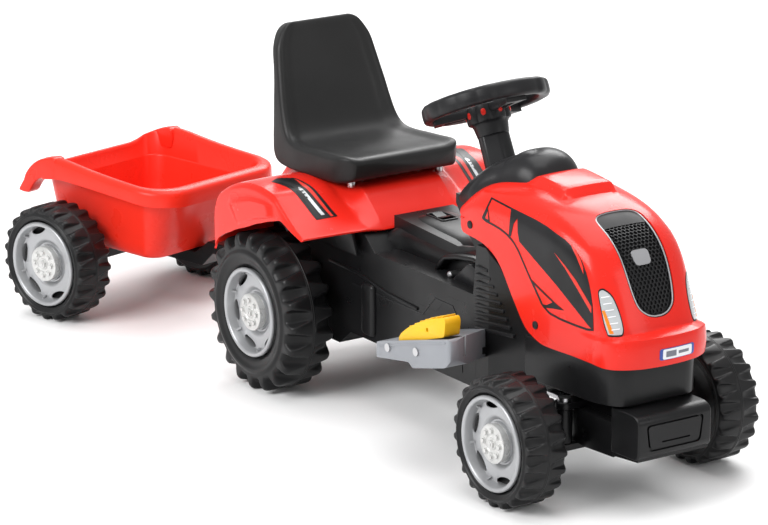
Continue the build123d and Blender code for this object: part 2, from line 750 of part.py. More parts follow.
for name, at in (("horn_button_left", button_at[0]), ("horn_button_right", button_at[1])):
    with BuildPart() as horn_button:
        with BuildSketch(COLUMN.offset(2.5 - HUB_DROP)):
            with Locations(at):
                Circle(BUTTON_R)
        extrude(amount=10)
    keep(name, horn_button.part)

# ---------------------------------------------------------------- front axle
ARM_Z, TIE_Z, TIE_THICK = 84, 94, 6
ARM_X = WHEELBASE - KNUCKLE_ARM
BARREL_Z = (72, 120)
SLOT_PLAY = 0.45
carrier_outline = face_from(
    [(599, 120), (599, 73), (648, 69), (764, 80), (764, 134), (755, 142), (712, 142), (703, 121)]
)
with BuildPart() as fork_plates:
    for bottom, top in ((62, 70.7), (121.3, 130)):  # they hold the kingpins
        with Locations((WHEELBASE, 0, bottom)):
            Box(27, 2 * KINGPIN_Y, top - bottom, align=(Align.CENTER, Align.CENTER, Align.MIN))
        with Locations((WHEELBASE, KINGPIN_Y, bottom), (WHEELBASE, -KINGPIN_Y, bottom)):
            Cylinder(13.5, top - bottom, align=(Align.CENTER, Align.CENTER, Align.MIN))
with BuildPart() as axle_carrier:
    extrude(carrier_outline, amount=60, both=True)
    extrude(hollow(carrier_outline, -2 * WALL), amount=60 - WALL, both=True, mode=Mode.SUBTRACT)
    extrude(face_from([(600, 116), (600, 143.5), (722, 148.5), (722, 116)]), amount=44, both=True)
    add(fork_plates.part)
    with Locations((WHEELBASE, KINGPIN_Y, 50), (WHEELBASE, -KINGPIN_Y, 50)):
        Cylinder(KINGPIN_R, 200, mode=Mode.SUBTRACT)
keep("axle_carrier", axle_carrier.part)

with BuildPart() as kingpins:
    with Locations((WHEELBASE, KINGPIN_Y, 0), (WHEELBASE, -KINGPIN_Y, 0)):
        with Locations((0, 0, 62)):
            Cylinder(KINGPIN_R, 72, align=(Align.CENTER, Align.CENTER, Align.MIN))
        with Locations((0, 0, 130)):
            Cylinder(9, 6, align=(Align.CENTER, Align.CENTER, Align.MIN))
keep("kingpins", kingpins.part)

for name, side in (("knuckle_right", -1), ("knuckle_left", 1)):
    with BuildPart() as knuckle:
        with Locations((WHEELBASE, side * KINGPIN_Y, BARREL_Z[0])):
            Cylinder(12, BARREL_Z[1] - BARREL_Z[0], align=(Align.CENTER, Align.CENTER, Align.MIN))
        with BuildSketch(Plane.XY.offset(ARM_Z)):
            with Locations((WHEELBASE - KNUCKLE_ARM / 2, side * KINGPIN_Y)):
                Rectangle(KNUCKLE_ARM, 12)
            with Locations((ARM_X, side * KINGPIN_Y)):
                Circle(7)
        extrude(amount=8)
        with Locations((ARM_X, side * KINGPIN_Y, ARM_Z)):
            Cylinder(4, 20, align=(Align.CENTER, Align.CENTER, Align.MIN))
        hub_start = side_plane(side * (WHEEL_INNER_SMALL_Y - 2))
        hub_length = WHEEL_INNER_SMALL_Y - 2 - KINGPIN_Y
        extrude(round_face(10, (WHEELBASE, SMALL_R), hub_start), amount=side * hub_length)
        extrude(round_face(AXLE_R, (WHEELBASE, SMALL_R), side_plane(side * AXLE_HALF)), amount=side * 100)
        extrude(round_face(END_R, (WHEELBASE, SMALL_R), side_plane(side * AXLE_HALF)), amount=side * 8)
        with Locations((WHEELBASE, side * KINGPIN_Y, 50)):
            Cylinder(KINGPIN_R + RUNNING, 200, mode=Mode.SUBTRACT)
    keep(name, knuckle.part)

PIN_X = 474.3  # where the crank pin crosses the tie rod
with BuildPart() as tie_rod:
    with BuildSketch(Plane.XY.offset(TIE_Z)):
        with Locations((ARM_X, 0)):
            Rectangle(22, 2 * KINGPIN_Y + 20)
        with Locations(((ARM_X + PIN_X) / 2 - 7, 0)):
            Rectangle(ARM_X - PIN_X + 16, 28)
        with Locations((ARM_X + 1.5, KINGPIN_Y), (ARM_X + 1.5, -KINGPIN_Y)):
            SlotOverall(12.6, 2 * (4 + SLOT_PLAY), mode=Mode.SUBTRACT)
        with Locations((PIN_X + 3, 0)):
            SlotOverall(18.5, 2 * (3 + SLOT_PLAY), mode=Mode.SUBTRACT)
    extrude(amount=TIE_THICK)
keep("tie_rod", tie_rod.part)

# ---------------------------------------------------------------- footboards and controls
board_outline = face_from(
    [(330, 138), (330, 161), (507, 211), (512, 200), (509, 177), (501, 167), (419, 145), (411, 152)]
)
BOARD_OUT = 192
pedal_side = [(378, 163), (376, 180), (399, 197), (450, 223), (500, 241), (514, 230), (508, 206), (386, 172)]
PEDAL_Y = (-186, -130)
PEDAL_HINGE = (384, 166)
HINGE_R = 2.5
board_boltholes = [(360, 160), (430, 172)]


def make_board(side):
    """Hollow foot tray on one side of the chassis, open underneath, with its two fixing holes."""
    inner_y, outer_y = side * CHASSIS_HALF, side * BOARD_OUT
    with BuildPart() as board:
        extrude(board_outline.moved(Location((0, inner_y, 0))), amount=-side * (BOARD_OUT - CHASSIS_HALF))
        cavity = hollow(board_outline, -2 * WALL).moved(Location((0, inner_y + side * WALL, 0)))
        extrude(cavity, amount=-side * (BOARD_OUT - CHASSIS_HALF - 2 * WALL), mode=Mode.SUBTRACT)
        with Locations([(x, (inner_y + outer_y) / 2, z) for x, z in board_boltholes]):
            Cylinder(2, 200, rotation=(90, 0, 0), mode=Mode.SUBTRACT)
    return board.part


board_left = make_board(1)
board_right_blank = make_board(-1)

with BuildPart() as footboard_right:
    add(board_right_blank)
    with BuildSketch(Plane.XY):  # well that the pedal sinks into
        with Locations((445, (PEDAL_Y[0] + PEDAL_Y[1]) / 2)):
            Rectangle(140, PEDAL_Y[1] - PEDAL_Y[0] + 3)
    extrude(amount=400, mode=Mode.SUBTRACT)
    for y in (PEDAL_Y[0] - 1.5, PEDAL_Y[1] + 5.5):  # hinge lugs either side of the pedal
        extrude(face_from([(372, 150), (372, 172), (396, 178), (396, 156)], side_plane(y)), amount=4)
    extrude(round_face(HINGE_R, PEDAL_HINGE, side_plane(0)), amount=400, mode=Mode.SUBTRACT)
keep("footboard_right", footboard_right.part)
keep("footboard_left", board_left)

with BuildPart() as board_screws:
    for side in (-1, 1):
        for centre in board_boltholes:
            extrude(round_face(6, centre, side_plane(side * BOARD_OUT)), amount=-side * 2.5)
            extrude(round_face(2, centre, side_plane(side * BOARD_OUT)), amount=side * 12)
keep("board_screws", board_screws.part)

with BuildPart() as pedal:
    width = PEDAL_Y[1] - PEDAL_Y[0]
    shifted = Location((0, PEDAL_Y[1], 0))
    extrude(face_from(pedal_side).moved(shifted), amount=width)
    extrude(round_face(6, PEDAL_HINGE, side_plane(PEDAL_Y[1])), amount=width)
    extrude(round_face(HINGE_R + RUNNING, PEDAL_HINGE, side_plane(0)), amount=300, mode=Mode.SUBTRACT)
keep("pedal", pedal.part)

with BuildPart() as pedal_hinge_pin:
    pin_inner, pin_outer = -121, -(BOARD_OUT - 0.5)
    extrude(round_face(HINGE_R, PEDAL_HINGE, side_plane(pin_inner)), amount=pin_inner - pin_outer)
keep("pedal_hinge_pin", pedal_hinge_pin.part)

with BuildPart() as pedal_switch:
    body_side = [(440, 158), (440, 168), (470, 174), (470, 164)]
    extrude(face_from(body_side, side_plane(WALL - CHASSIS_HALF - 6)), amount=57)
    extrude(face_from([(450, 166), (450, 178), (460, 178), (460, 166)], side_plane(-146)), amount=10)
keep("pedal_switch", pedal_switch.part)

with BuildPart() as direction_rocker:
    extrude(
        face_from([(-14, 2), (-14, 14), (0, 11), (14, 14), (14, 2), (6, -5), (-6, -5)]).moved(
            Location((ROCKER_HINGE[0], 0, ROCKER_HINGE[1]))
        ),
        amount=8.5,
        both=True,
    )
    extrude(round_face(2, ROCKER_HINGE, Plane.XZ), amount=13, both=True)
keep("direction_rocker", direction_rocker.part)

# ---------------------------------------------------------------- hitch
PIN_R = 6
with BuildPart() as hitch_bracket:
    for bottom in (HITCH_Z - 28, HITCH_Z):  # clevis plates below and above the drawbar's eye
        with BuildSketch(Plane.XY.offset(bottom)):
            with Locations((HITCH_X, 0)):
                Circle(18)
            with Locations(((HITCH_X - 104) / 2, 0)):
                Rectangle(-104 - HITCH_X, 36)
        extrude(amount=6)
    with Locations((-107, 0, HITCH_Z - 34)):
        Box(6, 70, 52, align=(Align.CENTER, Align.CENTER, Align.MIN))
    with Locations((HITCH_X, 0, HITCH_Z)):
        Cylinder(PIN_R, 100, mode=Mode.SUBTRACT)
keep("hitch_bracket", hitch_bracket.part)

with BuildPart() as hitch_pin:
    with Locations((HITCH_X, 0, HITCH_Z - 34)):
        Cylinder(PIN_R, 42, align=(Align.CENTER, Align.CENTER, Align.MIN))
    with Locations((HITCH_X, 0, HITCH_Z + 6.3)):
        Cylinder(11, 6, align=(Align.CENTER, Align.CENTER, Align.MIN))
keep("hitch_pin", hitch_pin.part)

# ---------------------------------------------------------------- trailer, in its own frame
TUB_BOTTOM_Z = 105
bar_side = face_from(
    [(-30, 84), (-30, 104.7), (158, 104.7), (186, 126.5), (383, 126.5), (383, 107.5), (196, 107.5), (172, 84)]
)
with BuildPart() as trailer_drawbar:
    extrude(bar_side, amount=17, both=True)
    with Locations((HITCH_TO_AXLE, 0, 117)):
        Cylinder(17, 19)
        Cylinder(PIN_R + RUNNING, 60, mode=Mode.SUBTRACT)
    with Locations((0, 0, 94.35)):  # bracket that carries the axle
        Box(60, 190, 20.7)
    extrude(round_face(AXLE_R, (0, SMALL_R), Plane.XZ), amount=120, both=True, mode=Mode.SUBTRACT)
keep("trailer_drawbar", trailer_drawbar.part, trailer_frame)

with BuildPart() as trailer_axle:
    extrude(round_face(AXLE_R, (0, SMALL_R), Plane.XZ), amount=AXLE_HALF, both=True)
    for side in (-1, 1):
        extrude(round_face(END_R, (0, SMALL_R), side_plane(side * (AXLE_HALF - 4) + 4)), amount=8)
keep("trailer_axle", trailer_axle.part, trailer_frame)


def tub_block(inset):
    """Tapered body of the tub, smaller by the inset on every side."""
    with BuildPart() as block:
        with BuildSketch(Plane.XY.offset(TUB_BOTTOM_Z + inset)):
            with Locations((47.5, 0)):
                RectangleRounded(215 - 2 * inset, 210 - 2 * inset, 26)
        with BuildSketch(Plane.XY.offset(260)):
            with Locations((61, 0)):
                RectangleRounded(282 - 2 * inset, 256 - 2 * inset, 32)
        loft()
    return block.part


brim_points = [(-104, 205), (-54, 237), (-38, 244), (0, 250), (46, 240), (109, 234), (170, 230), (212, 230)]
edge_points = [(210, 202), (149, 207), (106, 209), (25, 212), (-22, 213), (-57, 209)]
edge_points += [(-79, 195), (-92, 179), (-113, 179)]
brim_outline = face_from(brim_points + edge_points)
above_brim = face_from([(-300, 205)] + brim_points + [(400, 230), (400, 400), (-300, 400)])
with BuildSketch() as brim_plan:
    with Locations((49.5, 0)):
        RectangleRounded(325, 280, 30)
with BuildPart() as brim_cavity:
    extrude(hollow(brim_outline, -60), amount=137, both=True)
    with BuildSketch():
        add(offset(brim_plan.sketch, amount=-WALL))
    extrude(amount=400, mode=Mode.INTERSECT)
tub_outer, tub_inner = tub_block(0), tub_block(WALL)
with BuildPart() as trailer_tub:
    extrude(brim_outline, amount=140, both=True)
    with BuildSketch():
        add(brim_plan.sketch)
    extrude(amount=400, mode=Mode.INTERSECT)
    add(brim_cavity.part, mode=Mode.SUBTRACT)
    add(tub_outer)
    add(tub_inner, mode=Mode.SUBTRACT)
    extrude(above_brim, amount=200, both=True, mode=Mode.SUBTRACT)
    with Locations((-90, 0, 212)):  # lower rear wall between the two side brims
        Box(80, 200, 60, align=(Align.CENTER, Align.CENTER, Align.MIN), mode=Mode.SUBTRACT)
keep("trailer_tub", trailer_tub.part, trailer_frame)

# ---------------------------------------------------------------- shared frame and export
corners = [piece.bounding_box() for piece in pieces.values()]
low = [min(getattr(box.min, axis) for box in corners) for axis in "XYZ"]
high = [max(getattr(box.max, axis) for box in corners) for axis in "XYZ"]
origin = Location((-(low[0] + high[0]) / 2, -(low[1] + high[1]) / 2, -low[2]))
for name, piece in pieces.items():
    placed = piece.moved(origin)
    placed.label = name
    export_step(placed, f"parts/{name}.step")
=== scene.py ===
"""Ride-on toy tractor with trailer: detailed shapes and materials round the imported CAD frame."""

import json
import math

import bmesh
import bpy
from mathutils import Matrix, Vector
from mathutils.bvhtree import BVHTree


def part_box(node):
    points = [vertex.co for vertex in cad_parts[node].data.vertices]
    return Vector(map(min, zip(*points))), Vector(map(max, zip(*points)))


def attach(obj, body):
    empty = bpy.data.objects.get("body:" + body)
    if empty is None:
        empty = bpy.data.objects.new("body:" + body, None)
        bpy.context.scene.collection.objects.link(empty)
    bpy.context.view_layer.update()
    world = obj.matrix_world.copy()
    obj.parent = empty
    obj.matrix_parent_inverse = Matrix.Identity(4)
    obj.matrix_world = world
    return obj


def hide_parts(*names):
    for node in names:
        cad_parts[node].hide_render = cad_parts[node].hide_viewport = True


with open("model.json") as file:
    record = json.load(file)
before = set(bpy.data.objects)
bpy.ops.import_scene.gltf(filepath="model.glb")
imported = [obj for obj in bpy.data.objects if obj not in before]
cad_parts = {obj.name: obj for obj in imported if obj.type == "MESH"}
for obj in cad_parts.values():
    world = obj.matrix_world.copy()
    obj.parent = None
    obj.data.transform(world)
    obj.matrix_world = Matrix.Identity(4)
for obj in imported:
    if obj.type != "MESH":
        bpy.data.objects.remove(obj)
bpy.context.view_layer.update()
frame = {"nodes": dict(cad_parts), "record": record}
MM = 0.001

# ---------------------------------------------------------------- places
axle_low, axle_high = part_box("rear_axle")
REAR_R = 0.120
ORIGIN = (axle_low + axle_high) / 2 - Vector((0, 0, REAR_R))
HITCH = Vector((-150, 0, 0))
YAW, HITCH_TO_AXLE = math.radians(13.6), 383
COLUMN_TILT = math.radians(26)
COLUMN_TOP = Vector((320, 0, 480))


def tractor(x, y, z):
    """Millimetres from the ground point under the tractor's rear axle, as a point in the row frame."""
    return ORIGIN + Vector((x, y, z)) * MM


TRAILER_TURN = Matrix.Rotation(YAW, 4, "Z")


def trailer(x, y, z):
    """Millimetres from the ground point under the trailer's axle, as a point in the row frame."""
    return ORIGIN + (HITCH + TRAILER_TURN @ Vector((x - HITCH_TO_AXLE, y, z))) * MM


COLUMN_X = Vector((math.cos(COLUMN_TILT), 0, math.sin(COLUMN_TILT)))
COLUMN_Z = Vector((-math.sin(COLUMN_TILT), 0, math.cos(COLUMN_TILT)))


def column(x, y, z):
    """Millimetres in the steering wheel's own frame: +Z up the column, +X forwards."""
    return ORIGIN + (COLUMN_TOP + COLUMN_X * x + Vector((0, y, 0)) + COLUMN_Z * z) * MM


# ---------------------------------------------------------------- camera, light and floor
camera_data = bpy.data.cameras.new("camera")
camera_data.lens = 180.5
camera_data.clip_end = 50
camera = bpy.data.objects.new("camera", camera_data)
bpy.context.scene.collection.objects.link(camera)
CAMERA_AZIMUTH, CAMERA_ELEVATION = math.radians(56.031), math.radians(16.47)
camera.location = tractor(4629.97, -3076.10, 1807.68)
back = Vector(
    (
        math.sin(CAMERA_AZIMUTH) * math.cos(CAMERA_ELEVATION),
        -math.cos(CAMERA_AZIMUTH) * math.cos(CAMERA_ELEVATION),
        math.sin(CAMERA_ELEVATION),
    )
)
camera.rotation_mode = "QUATERNION"
camera.rotation_quaternion = (-back).to_track_quat("-Z", "Y")
bpy.context.scene.camera = camera

world = bpy.data.worlds.new("studio")
bpy.context.scene.world = world
world.use_nodes = True
world.node_tree.nodes["Background"].inputs["Color"].default_value = (1, 1, 1, 1)
world.node_tree.nodes["Background"].inputs["Strength"].default_value = 0.62
bpy.context.scene.view_settings.view_transform = "Standard"  # keeps the reds as saturated as in the photo


def area_light(name, location, target, size, power):
    """Soft rectangular light that points at the target."""
    data = bpy.data.lights.new(name, "AREA")
    data.shape = "RECTANGLE"
    data.size, data.size_y = size
    data.energy = power
    light = bpy.data.objects.new(name, data)
    light.location = location
    light.rotation_mode = "QUATERNION"
    light.rotation_quaternion = (Vector(target) - Vector(location)).to_track_quat("-Z", "Y")
    bpy.context.scene.collection.objects.link(light)


area_light("key", (0.3, -3.0, 2.3), (0.1, 0, 0.2), (2.2, 1.6), 112)
area_light("top", (0.2, 0.4, 3.0), (0, 0, 0), (2.6, 2.0), 52)
area_light("front", (3.4, 0.9, 1.6), (0.2, 0, 0.25), (1.4, 1.4), 14)
area_light("back", (-3.5, 4.0, 4.0), (-1.5, 2.2, 0), (4.0, 3.0), 260)

# ---------------------------------------------------------------- materials
materials = {}
MIX_A, MIX_B, MIX_RESULT = 6, 7, 2  # the colour sockets of a Mix node
DUST_COLOR = (0.45, 0.45, 0.46, 1)
SHEEN = 0.23  # specular level of all the mouldings


def node(tree, kind, **values):
    """Adds a shader node and sets its inputs by name."""
    made = tree.nodes.new(kind)
    for key, value in values.items():
        if key in made.inputs:
            made.inputs[key].default_value = value
        else:
            setattr(made, key, value)
    return made


def plastic(name, color, rough, variation=0.05, grain=0, grain_scale=900, coat=0, dust=0, metallic=0):
    """Moulded plastic: mottled colour, uneven gloss, moulded grain and a little dust on what faces up."""
    material = bpy.data.materials.new(name)
    material.use_nodes = True
    tree = material.node_tree
    shader = tree.nodes["Principled BSDF"]
    shader.inputs["Metallic"].default_value = metallic
    shader.inputs["Coat Weight"].default_value = coat
    shader.inputs["Coat Roughness"].default_value = 0.06
    shader.inputs["Specular IOR Level"].default_value = SHEEN
    place = node(tree, "ShaderNodeTexCoord")
    cloud = node(tree, "ShaderNodeTexNoise", Scale=9.0, Detail=4.0)
    tree.links.new(place.outputs["Object"], cloud.inputs["Vector"])
    tint = node(tree, "ShaderNodeValToRGB")
    low = [c * (1 - variation) for c in color]
    high = [min(1, c * (1 + variation) + 0.002) for c in color]
    tint.color_ramp.elements[0].position = 0.3
    tint.color_ramp.elements[0].color = (*low, 1)
    tint.color_ramp.elements[1].position = 0.7
    tint.color_ramp.elements[1].color = (*high, 1)
    tree.links.new(cloud.outputs["Fac"], tint.inputs["Fac"])
    last = tint.outputs["Color"]
    if dust:
        normal = node(tree, "ShaderNodeNewGeometry")
        split = node(tree, "ShaderNodeSeparateXYZ")
        tree.links.new(normal.outputs["Normal"], split.inputs["Vector"])
        facing = node(tree, "ShaderNodeMapRange", **{"From Min": 0.2, "From Max": 1.0, "To Max": dust})
        tree.links.new(split.outputs["Z"], facing.inputs["Value"])
        mix = node(tree, "ShaderNodeMix", data_type="RGBA")
        tree.links.new(facing.outputs["Result"], mix.inputs["Factor"])
        tree.links.new(last, mix.inputs[MIX_A])
        mix.inputs[MIX_B].default_value = DUST_COLOR
        last = mix.outputs[MIX_RESULT]
    tree.links.new(last, shader.inputs["Base Color"])
    smear = node(tree, "ShaderNodeTexNoise", Scale=26.0, Detail=5.0)
    tree.links.new(place.outputs["Object"], smear.inputs["Vector"])
    gloss = node(
        tree,
        "ShaderNodeMapRange",
        **{"From Min": 0.3, "From Max": 0.7, "To Min": rough * 0.82, "To Max": min(1, rough * 1.2)},
    )
    tree.links.new(smear.outputs["Fac"], gloss.inputs["Value"])
    tree.links.new(gloss.outputs["Result"], shader.inputs["Roughness"])
    if grain:
        fine = node(tree, "ShaderNodeTexNoise", Scale=grain_scale, Detail=3.0)
        tree.links.new(place.outputs["Object"], fine.inputs["Vector"])
        bump = node(tree, "ShaderNodeBump", Strength=grain, Distance=0.0004)
        tree.links.new(fine.outputs["Fac"], bump.inputs["Height"])
        tree.links.new(bump.outputs["Normal"], shader.inputs["Normal"])
    materials[name] = material
    return material


plastic("tyre_black", (0.007, 0.007, 0.0075), 0.36, grain=0.12, grain_scale=500, dust=0.015)
plastic("seat_black", (0.011, 0.011, 0.011), 0.4, grain=0.3, grain_scale=1100, dust=0.015)
plastic("body_black", (0.005, 0.005, 0.0055), 0.32, grain=0.1, grain_scale=800, dust=0.01)
plastic("cover_black", (0.01, 0.01, 0.011), 0.34, grain=0.15, dust=0.015)
plastic("grip_black", (0.009, 0.009, 0.01), 0.4, grain=0.3, dust=0.01)
plastic("mesh_black", (0.01, 0.01, 0.011), 0.3, grain=0.1)
plastic("decal_black", (0.004, 0.004, 0.0045), 0.32)
plastic("decal_shade", (0.009, 0.009, 0.01), 0.35, variation=0.5)
plastic("red_decal", (0.62, 0.03, 0.018), 0.3)
# Light grey for a painted highlight behind the grille mesh.
plastic("grille_highlight_paint", (0.27, 0.27, 0.28), 0.35)
plastic("plate_grey", (0.16, 0.17, 0.2), 0.35)
plastic("red_shell", (0.68, 0.016, 0.008), 0.24, variation=0.03, grain=0.03, grain_scale=60, coat=0.1)
plastic("red_tub", (0.76, 0.024, 0.011), 0.3, variation=0.03, grain=0.02, grain_scale=60)
plastic("red_trim", (0.5, 0.015, 0.008), 0.3, grain=0.05)
plastic("silver_rim", (0.37, 0.375, 0.385), 0.34, grain=0.1, metallic=0.55)
plastic("silver_cap", (0.56, 0.56, 0.55), 0.3, grain=0.15, metallic=0.5)
plastic("silver_line", (0.42, 0.43, 0.44), 0.3, metallic=0.6)
plastic("silver_board", (0.25, 0.26, 0.28), 0.45, grain=0.15, metallic=0.2)
plastic("yellow_pedal", (0.72, 0.42, 0.01), 0.35, variation=0.04, grain=0.06)
plastic("nylon_white", (0.7, 0.69, 0.64), 0.45, grain=0.05)
plastic("battery_grey", (0.05, 0.05, 0.055), 0.5, grain=0.1)
plastic("zinc_steel", (0.5, 0.5, 0.51), 0.32, grain=0.08, metallic=1.0)
plastic("lamp_amber", (0.85, 0.2, 0.01), 0.2, coat=0.6)
plastic("lamp_clear", (0.5, 0.52, 0.53), 0.16, variation=0.35, coat=0.6, metallic=0.2)
plastic("plate_white", (0.75, 0.76, 0.78), 0.3, coat=0.4)
plastic("plate_blue", (0.02, 0.06, 0.3), 0.3, coat=0.4)

SLOT_MATERIALS = {
    "black_tyre": "tyre_black",
    "silver_rim": "silver_rim",
    "silver_cap": "silver_cap",
    "black_seat": "seat_black",
    "black_cover": "cover_black",
    "battery_case": "battery_grey",
    "black_body": "body_black",
    "red_shell": "red_shell",
    "red_tub": "red_tub",
    "red_trim": "red_trim",
    "black_grip": "grip_black",
    "black_mesh": "mesh_black",
    "lamp_clear": "lamp_clear",
    "silver_board": "silver_board",
    "yellow_pedal": "yellow_pedal",
    "gear_white": "nylon_white",
    "steel": "zinc_steel",
}
slot_of = {part["node"]: part["material_slot"] for part in frame["record"]["subparts"]}
for name, thing in frame["nodes"].items():  # the photograph shows the knuckles dark
    thing.data.materials.clear()
    look = "body_black" if name.startswith("knuckle") else SLOT_MATERIALS[slot_of[name]]
    thing.data.materials.append(materials[look])

# ---------------------------------------------------------------- mesh helpers
def add(name, verts, faces):
    """New linked object from points and faces, welded and with its faces turned outwards."""
    mesh = bpy.data.meshes.new(name)
    mesh.from_pydata([tuple(v) for v in verts], [], faces)
    made = bpy.data.objects.new(name, mesh)
    bpy.context.scene.collection.objects.link(made)
    return weld(made)


def weld(thing, distance=2e-5):
    """Merges doubled points, drops empty faces and turns all faces outwards."""
    work = bmesh.new()
    work.from_mesh(thing.data)
    bmesh.ops.remove_doubles(work, verts=work.verts, dist=distance)
    bmesh.ops.dissolve_degenerate(work, edges=work.edges, dist=distance / 4)
    bmesh.ops.recalc_face_normals(work, faces=work.faces)
    work.to_mesh(thing.data)
    work.free()
    return thing


def modified(thing, *steps):
    """Adds modifiers, given as (kind, settings), and keeps the mesh that they make."""
    for kind, settings in steps:
        modifier = thing.modifiers.new(kind.lower(), kind)
        for key, value in settings.items():
            setattr(modifier, key, value)
    graph = bpy.context.evaluated_depsgraph_get()
    mesh = bpy.data.meshes.new_from_object(thing.evaluated_get(graph))
    thing.modifiers.clear()
    thing.data = mesh
    return thing


def joined(first, *others):
    """One object from several, with every island of their meshes."""
    work = bmesh.new()
    for thing in (first, *others):
        mesh = thing.data.copy()
        mesh.transform(thing.matrix_world)
        work.from_mesh(mesh)
        bpy.data.meshes.remove(mesh)
    work.to_mesh(first.data)
    work.free()
    first.matrix_world = Matrix.Identity(4)
    for thing in others:
        bpy.data.objects.remove(thing)
    return first


def cut(thing, *tools, operation="DIFFERENCE"):
    """Boolean of the thing with each tool; the tools are used up."""
    for tool in tools:
        modified(thing, ("BOOLEAN", {"object": tool, "operation": operation, "solver": "EXACT"}))
        bpy.data.objects.remove(tool)
    return thing


def bevel(width, segments=2, angle=30):
    return ("BEVEL", {"width": width * MM, "segments": segments, "angle_limit": math.radians(angle)})


def subdivided(levels=1):
    return ("SUBSURF", {"levels": levels, "render_levels": levels})


def piece(thing, name, material, body, slot, *nodes, sharp=35):
    """Names a finished mesh, gives it its material and hands it to its CAD body."""
    thing.name = name
    thing.data.name = name
    thing.data.materials.clear()
    thing.data.materials.append(materials[material])
    thing.data.shade_smooth()
    thing.data.set_sharp_from_angle(angle=math.radians(sharp))
    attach(thing, body)
    if nodes:
        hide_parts(*nodes)
    return thing


def grid(rows, around=False, along=False):
    """Points and quads between rows of equal length. around closes each row, along joins the last one on."""
    count = len(rows[0])
    faces = []
    for i in range(len(rows) - (0 if along else 1)):
        low, high = i * count, (i + 1) % len(rows) * count
        for j in range(count - (0 if around else 1)):
            k = (j + 1) % count
            faces.append((low + j, low + k, high + k, high + j))
    return [p for row in rows for p in row], faces


def loft(name, loops, caps=True):
    """Skin over closed loops of equal length, with its two ends filled."""
    verts, faces = grid(loops, around=True)
    if caps:
        count = len(loops[0])
        faces.append(tuple(range(count)))
        faces.append(tuple(range(len(verts) - count, len(verts))))
    return add(name, verts, faces)


def prism(name, outline, place, low, high):
    """Straight solid between two heights. place maps (a, b, height) to a point."""
    return loft(name, [[place(a, b, height) for a, b in outline] for height in (low, high)])


def revolve(name, profile, place, segments=96):
    """Closed profile of (radius, height) turned round an axis. place maps (x, y, height) to a point."""
    rows = []
    for step in range(segments):
        angle = math.tau * step / segments
        rows.append([place(r * math.cos(angle), r * math.sin(angle), h) for r, h in profile])
    verts, faces = grid(rows, around=True, along=True)
    return add(name, verts, faces)


def smooth(points, spans=6, closed=False):
    """Catmull-Rom curve through points of any dimension, with that many steps between neighbours."""
    count = len(points)
    out = []
    for i in range(count if closed else count - 1):
        four = []
        for k in (i - 1, i, i + 1, i + 2):
            four.append(points[k % count] if closed else points[max(0, min(count - 1, k))])
        for step in range(spans):
            t = step / spans
            weights = (
                (-t + 2 * t**2 - t**3) / 2,
                (2 - 5 * t**2 + 3 * t**3) / 2,
                (t + 4 * t**2 - 3 * t**3) / 2,
                (t**3 - t**2) / 2,
            )
            out.append(tuple(sum(w * v for w, v in zip(weights, values)) for values in zip(*four)))
    if not closed:
        out.append(tuple(points[-1]))
    return out


def resampled(points, count):
    """The polyline again, as count points the same distance apart."""
    steps = [0.0]
    for a, b in zip(points, points[1:]):
        steps.append(steps[-1] + math.dist(a, b))
    out, k = [], 0
    for i in range(count):
        goal = steps[-1] * i / (count - 1)
        while k < len(steps) - 2 and steps[k + 1] < goal:
            k += 1
        share = (goal - steps[k]) / max(steps[k + 1] - steps[k], 1e-9)
        out.append(tuple(a + (b - a) * share for a, b in zip(points[k], points[k + 1])))
    return out


def along_table(pairs, x):
    """Straight-line reading of a table of (x, value) in rising x."""
    if x <= pairs[0][0]:
        return pairs[0][1]
    for (x0, v0), (x1, v1) in zip(pairs, pairs[1:]):
        if x <= x1:
            return v0 + (v1 - v0) * (x - x0) / (x1 - x0)
    return pairs[-1][1]


def ease(t):
    """0 to 1 smoothly as t goes from 0 to 1."""
    t = max(0.0, min(1.0, t))
    return t * t * (3 - 2 * t)


def rounded(points, radius, steps=5):
    """Closed 2-D outline with its corners rounded. radius is one number, or one for each corner."""
    out = []
    for i, corner in enumerate(points):
        r = radius[i] if isinstance(radius, (list, tuple)) else radius
        here, before, after = Vector(corner), Vector(points[i - 1]), Vector(points[(i + 1) % len(points)])
        reach_a, reach_b = before - here, after - here
        r = min(r, reach_a.length * 0.48, reach_b.length * 0.48)
        if r <= 0:
            out.append(tuple(here))
            continue
        start, end = here + reach_a.normalized() * r, here + reach_b.normalized() * r
        for step in range(steps + 1):
            t = step / steps
            out.append(tuple(start * (1 - t) ** 2 + here * 2 * t * (1 - t) + end * t**2))
    return out


def superellipse(count, half_a, half_b, power):
    """Loop of (a, b) points round a rounded rectangle."""
    out = []
    for step in range(count):
        angle = math.tau * step / count
        c, s = math.cos(angle), math.sin(angle)
        a = math.copysign(abs(c) ** (2 / power), c)
        b = math.copysign(abs(s) ** (2 / power), s)
        out.append((half_a * a, half_b * b))
    return out


def surface_of(thing):
    """Search tree over a mesh, for laying other pieces on it."""
    return BVHTree.FromObject(thing, bpy.context.evaluated_depsgraph_get())


def cells(outline, size, triangles=True):
    """Flat outline cut by lines one size apart: its points, its faces and its rim edges, as point numbers."""
    work = bmesh.new()
    work.faces.new([work.verts.new((a, b, 0)) for a, b in outline])
    for axis, normal in ((0, (1, 0, 0)), (1, (0, 1, 0))):
        values = [p[axis] for p in outline]
        line = min(values) + size
        while line < max(values):
            geometry = work.verts[:] + work.edges[:] + work.faces[:]
            bmesh.ops.bisect_plane(work, geom=geometry, plane_co=Vector(normal) * line, plane_no=normal)
            line += size
    if triangles:
        bmesh.ops.triangulate(work, faces=[f for f in work.faces if len(f.verts) > 4])
    order = {vert: i for i, vert in enumerate(work.verts)}
    points = [(vert.co.x, vert.co.y) for vert in work.verts]
    faces = [[order[v] for v in face.verts] for face in work.faces]
    rim = [[order[v] for v in edge.verts] for edge in work.edges if len(edge.link_faces) == 1]
    work.free()
    return points, faces, rim


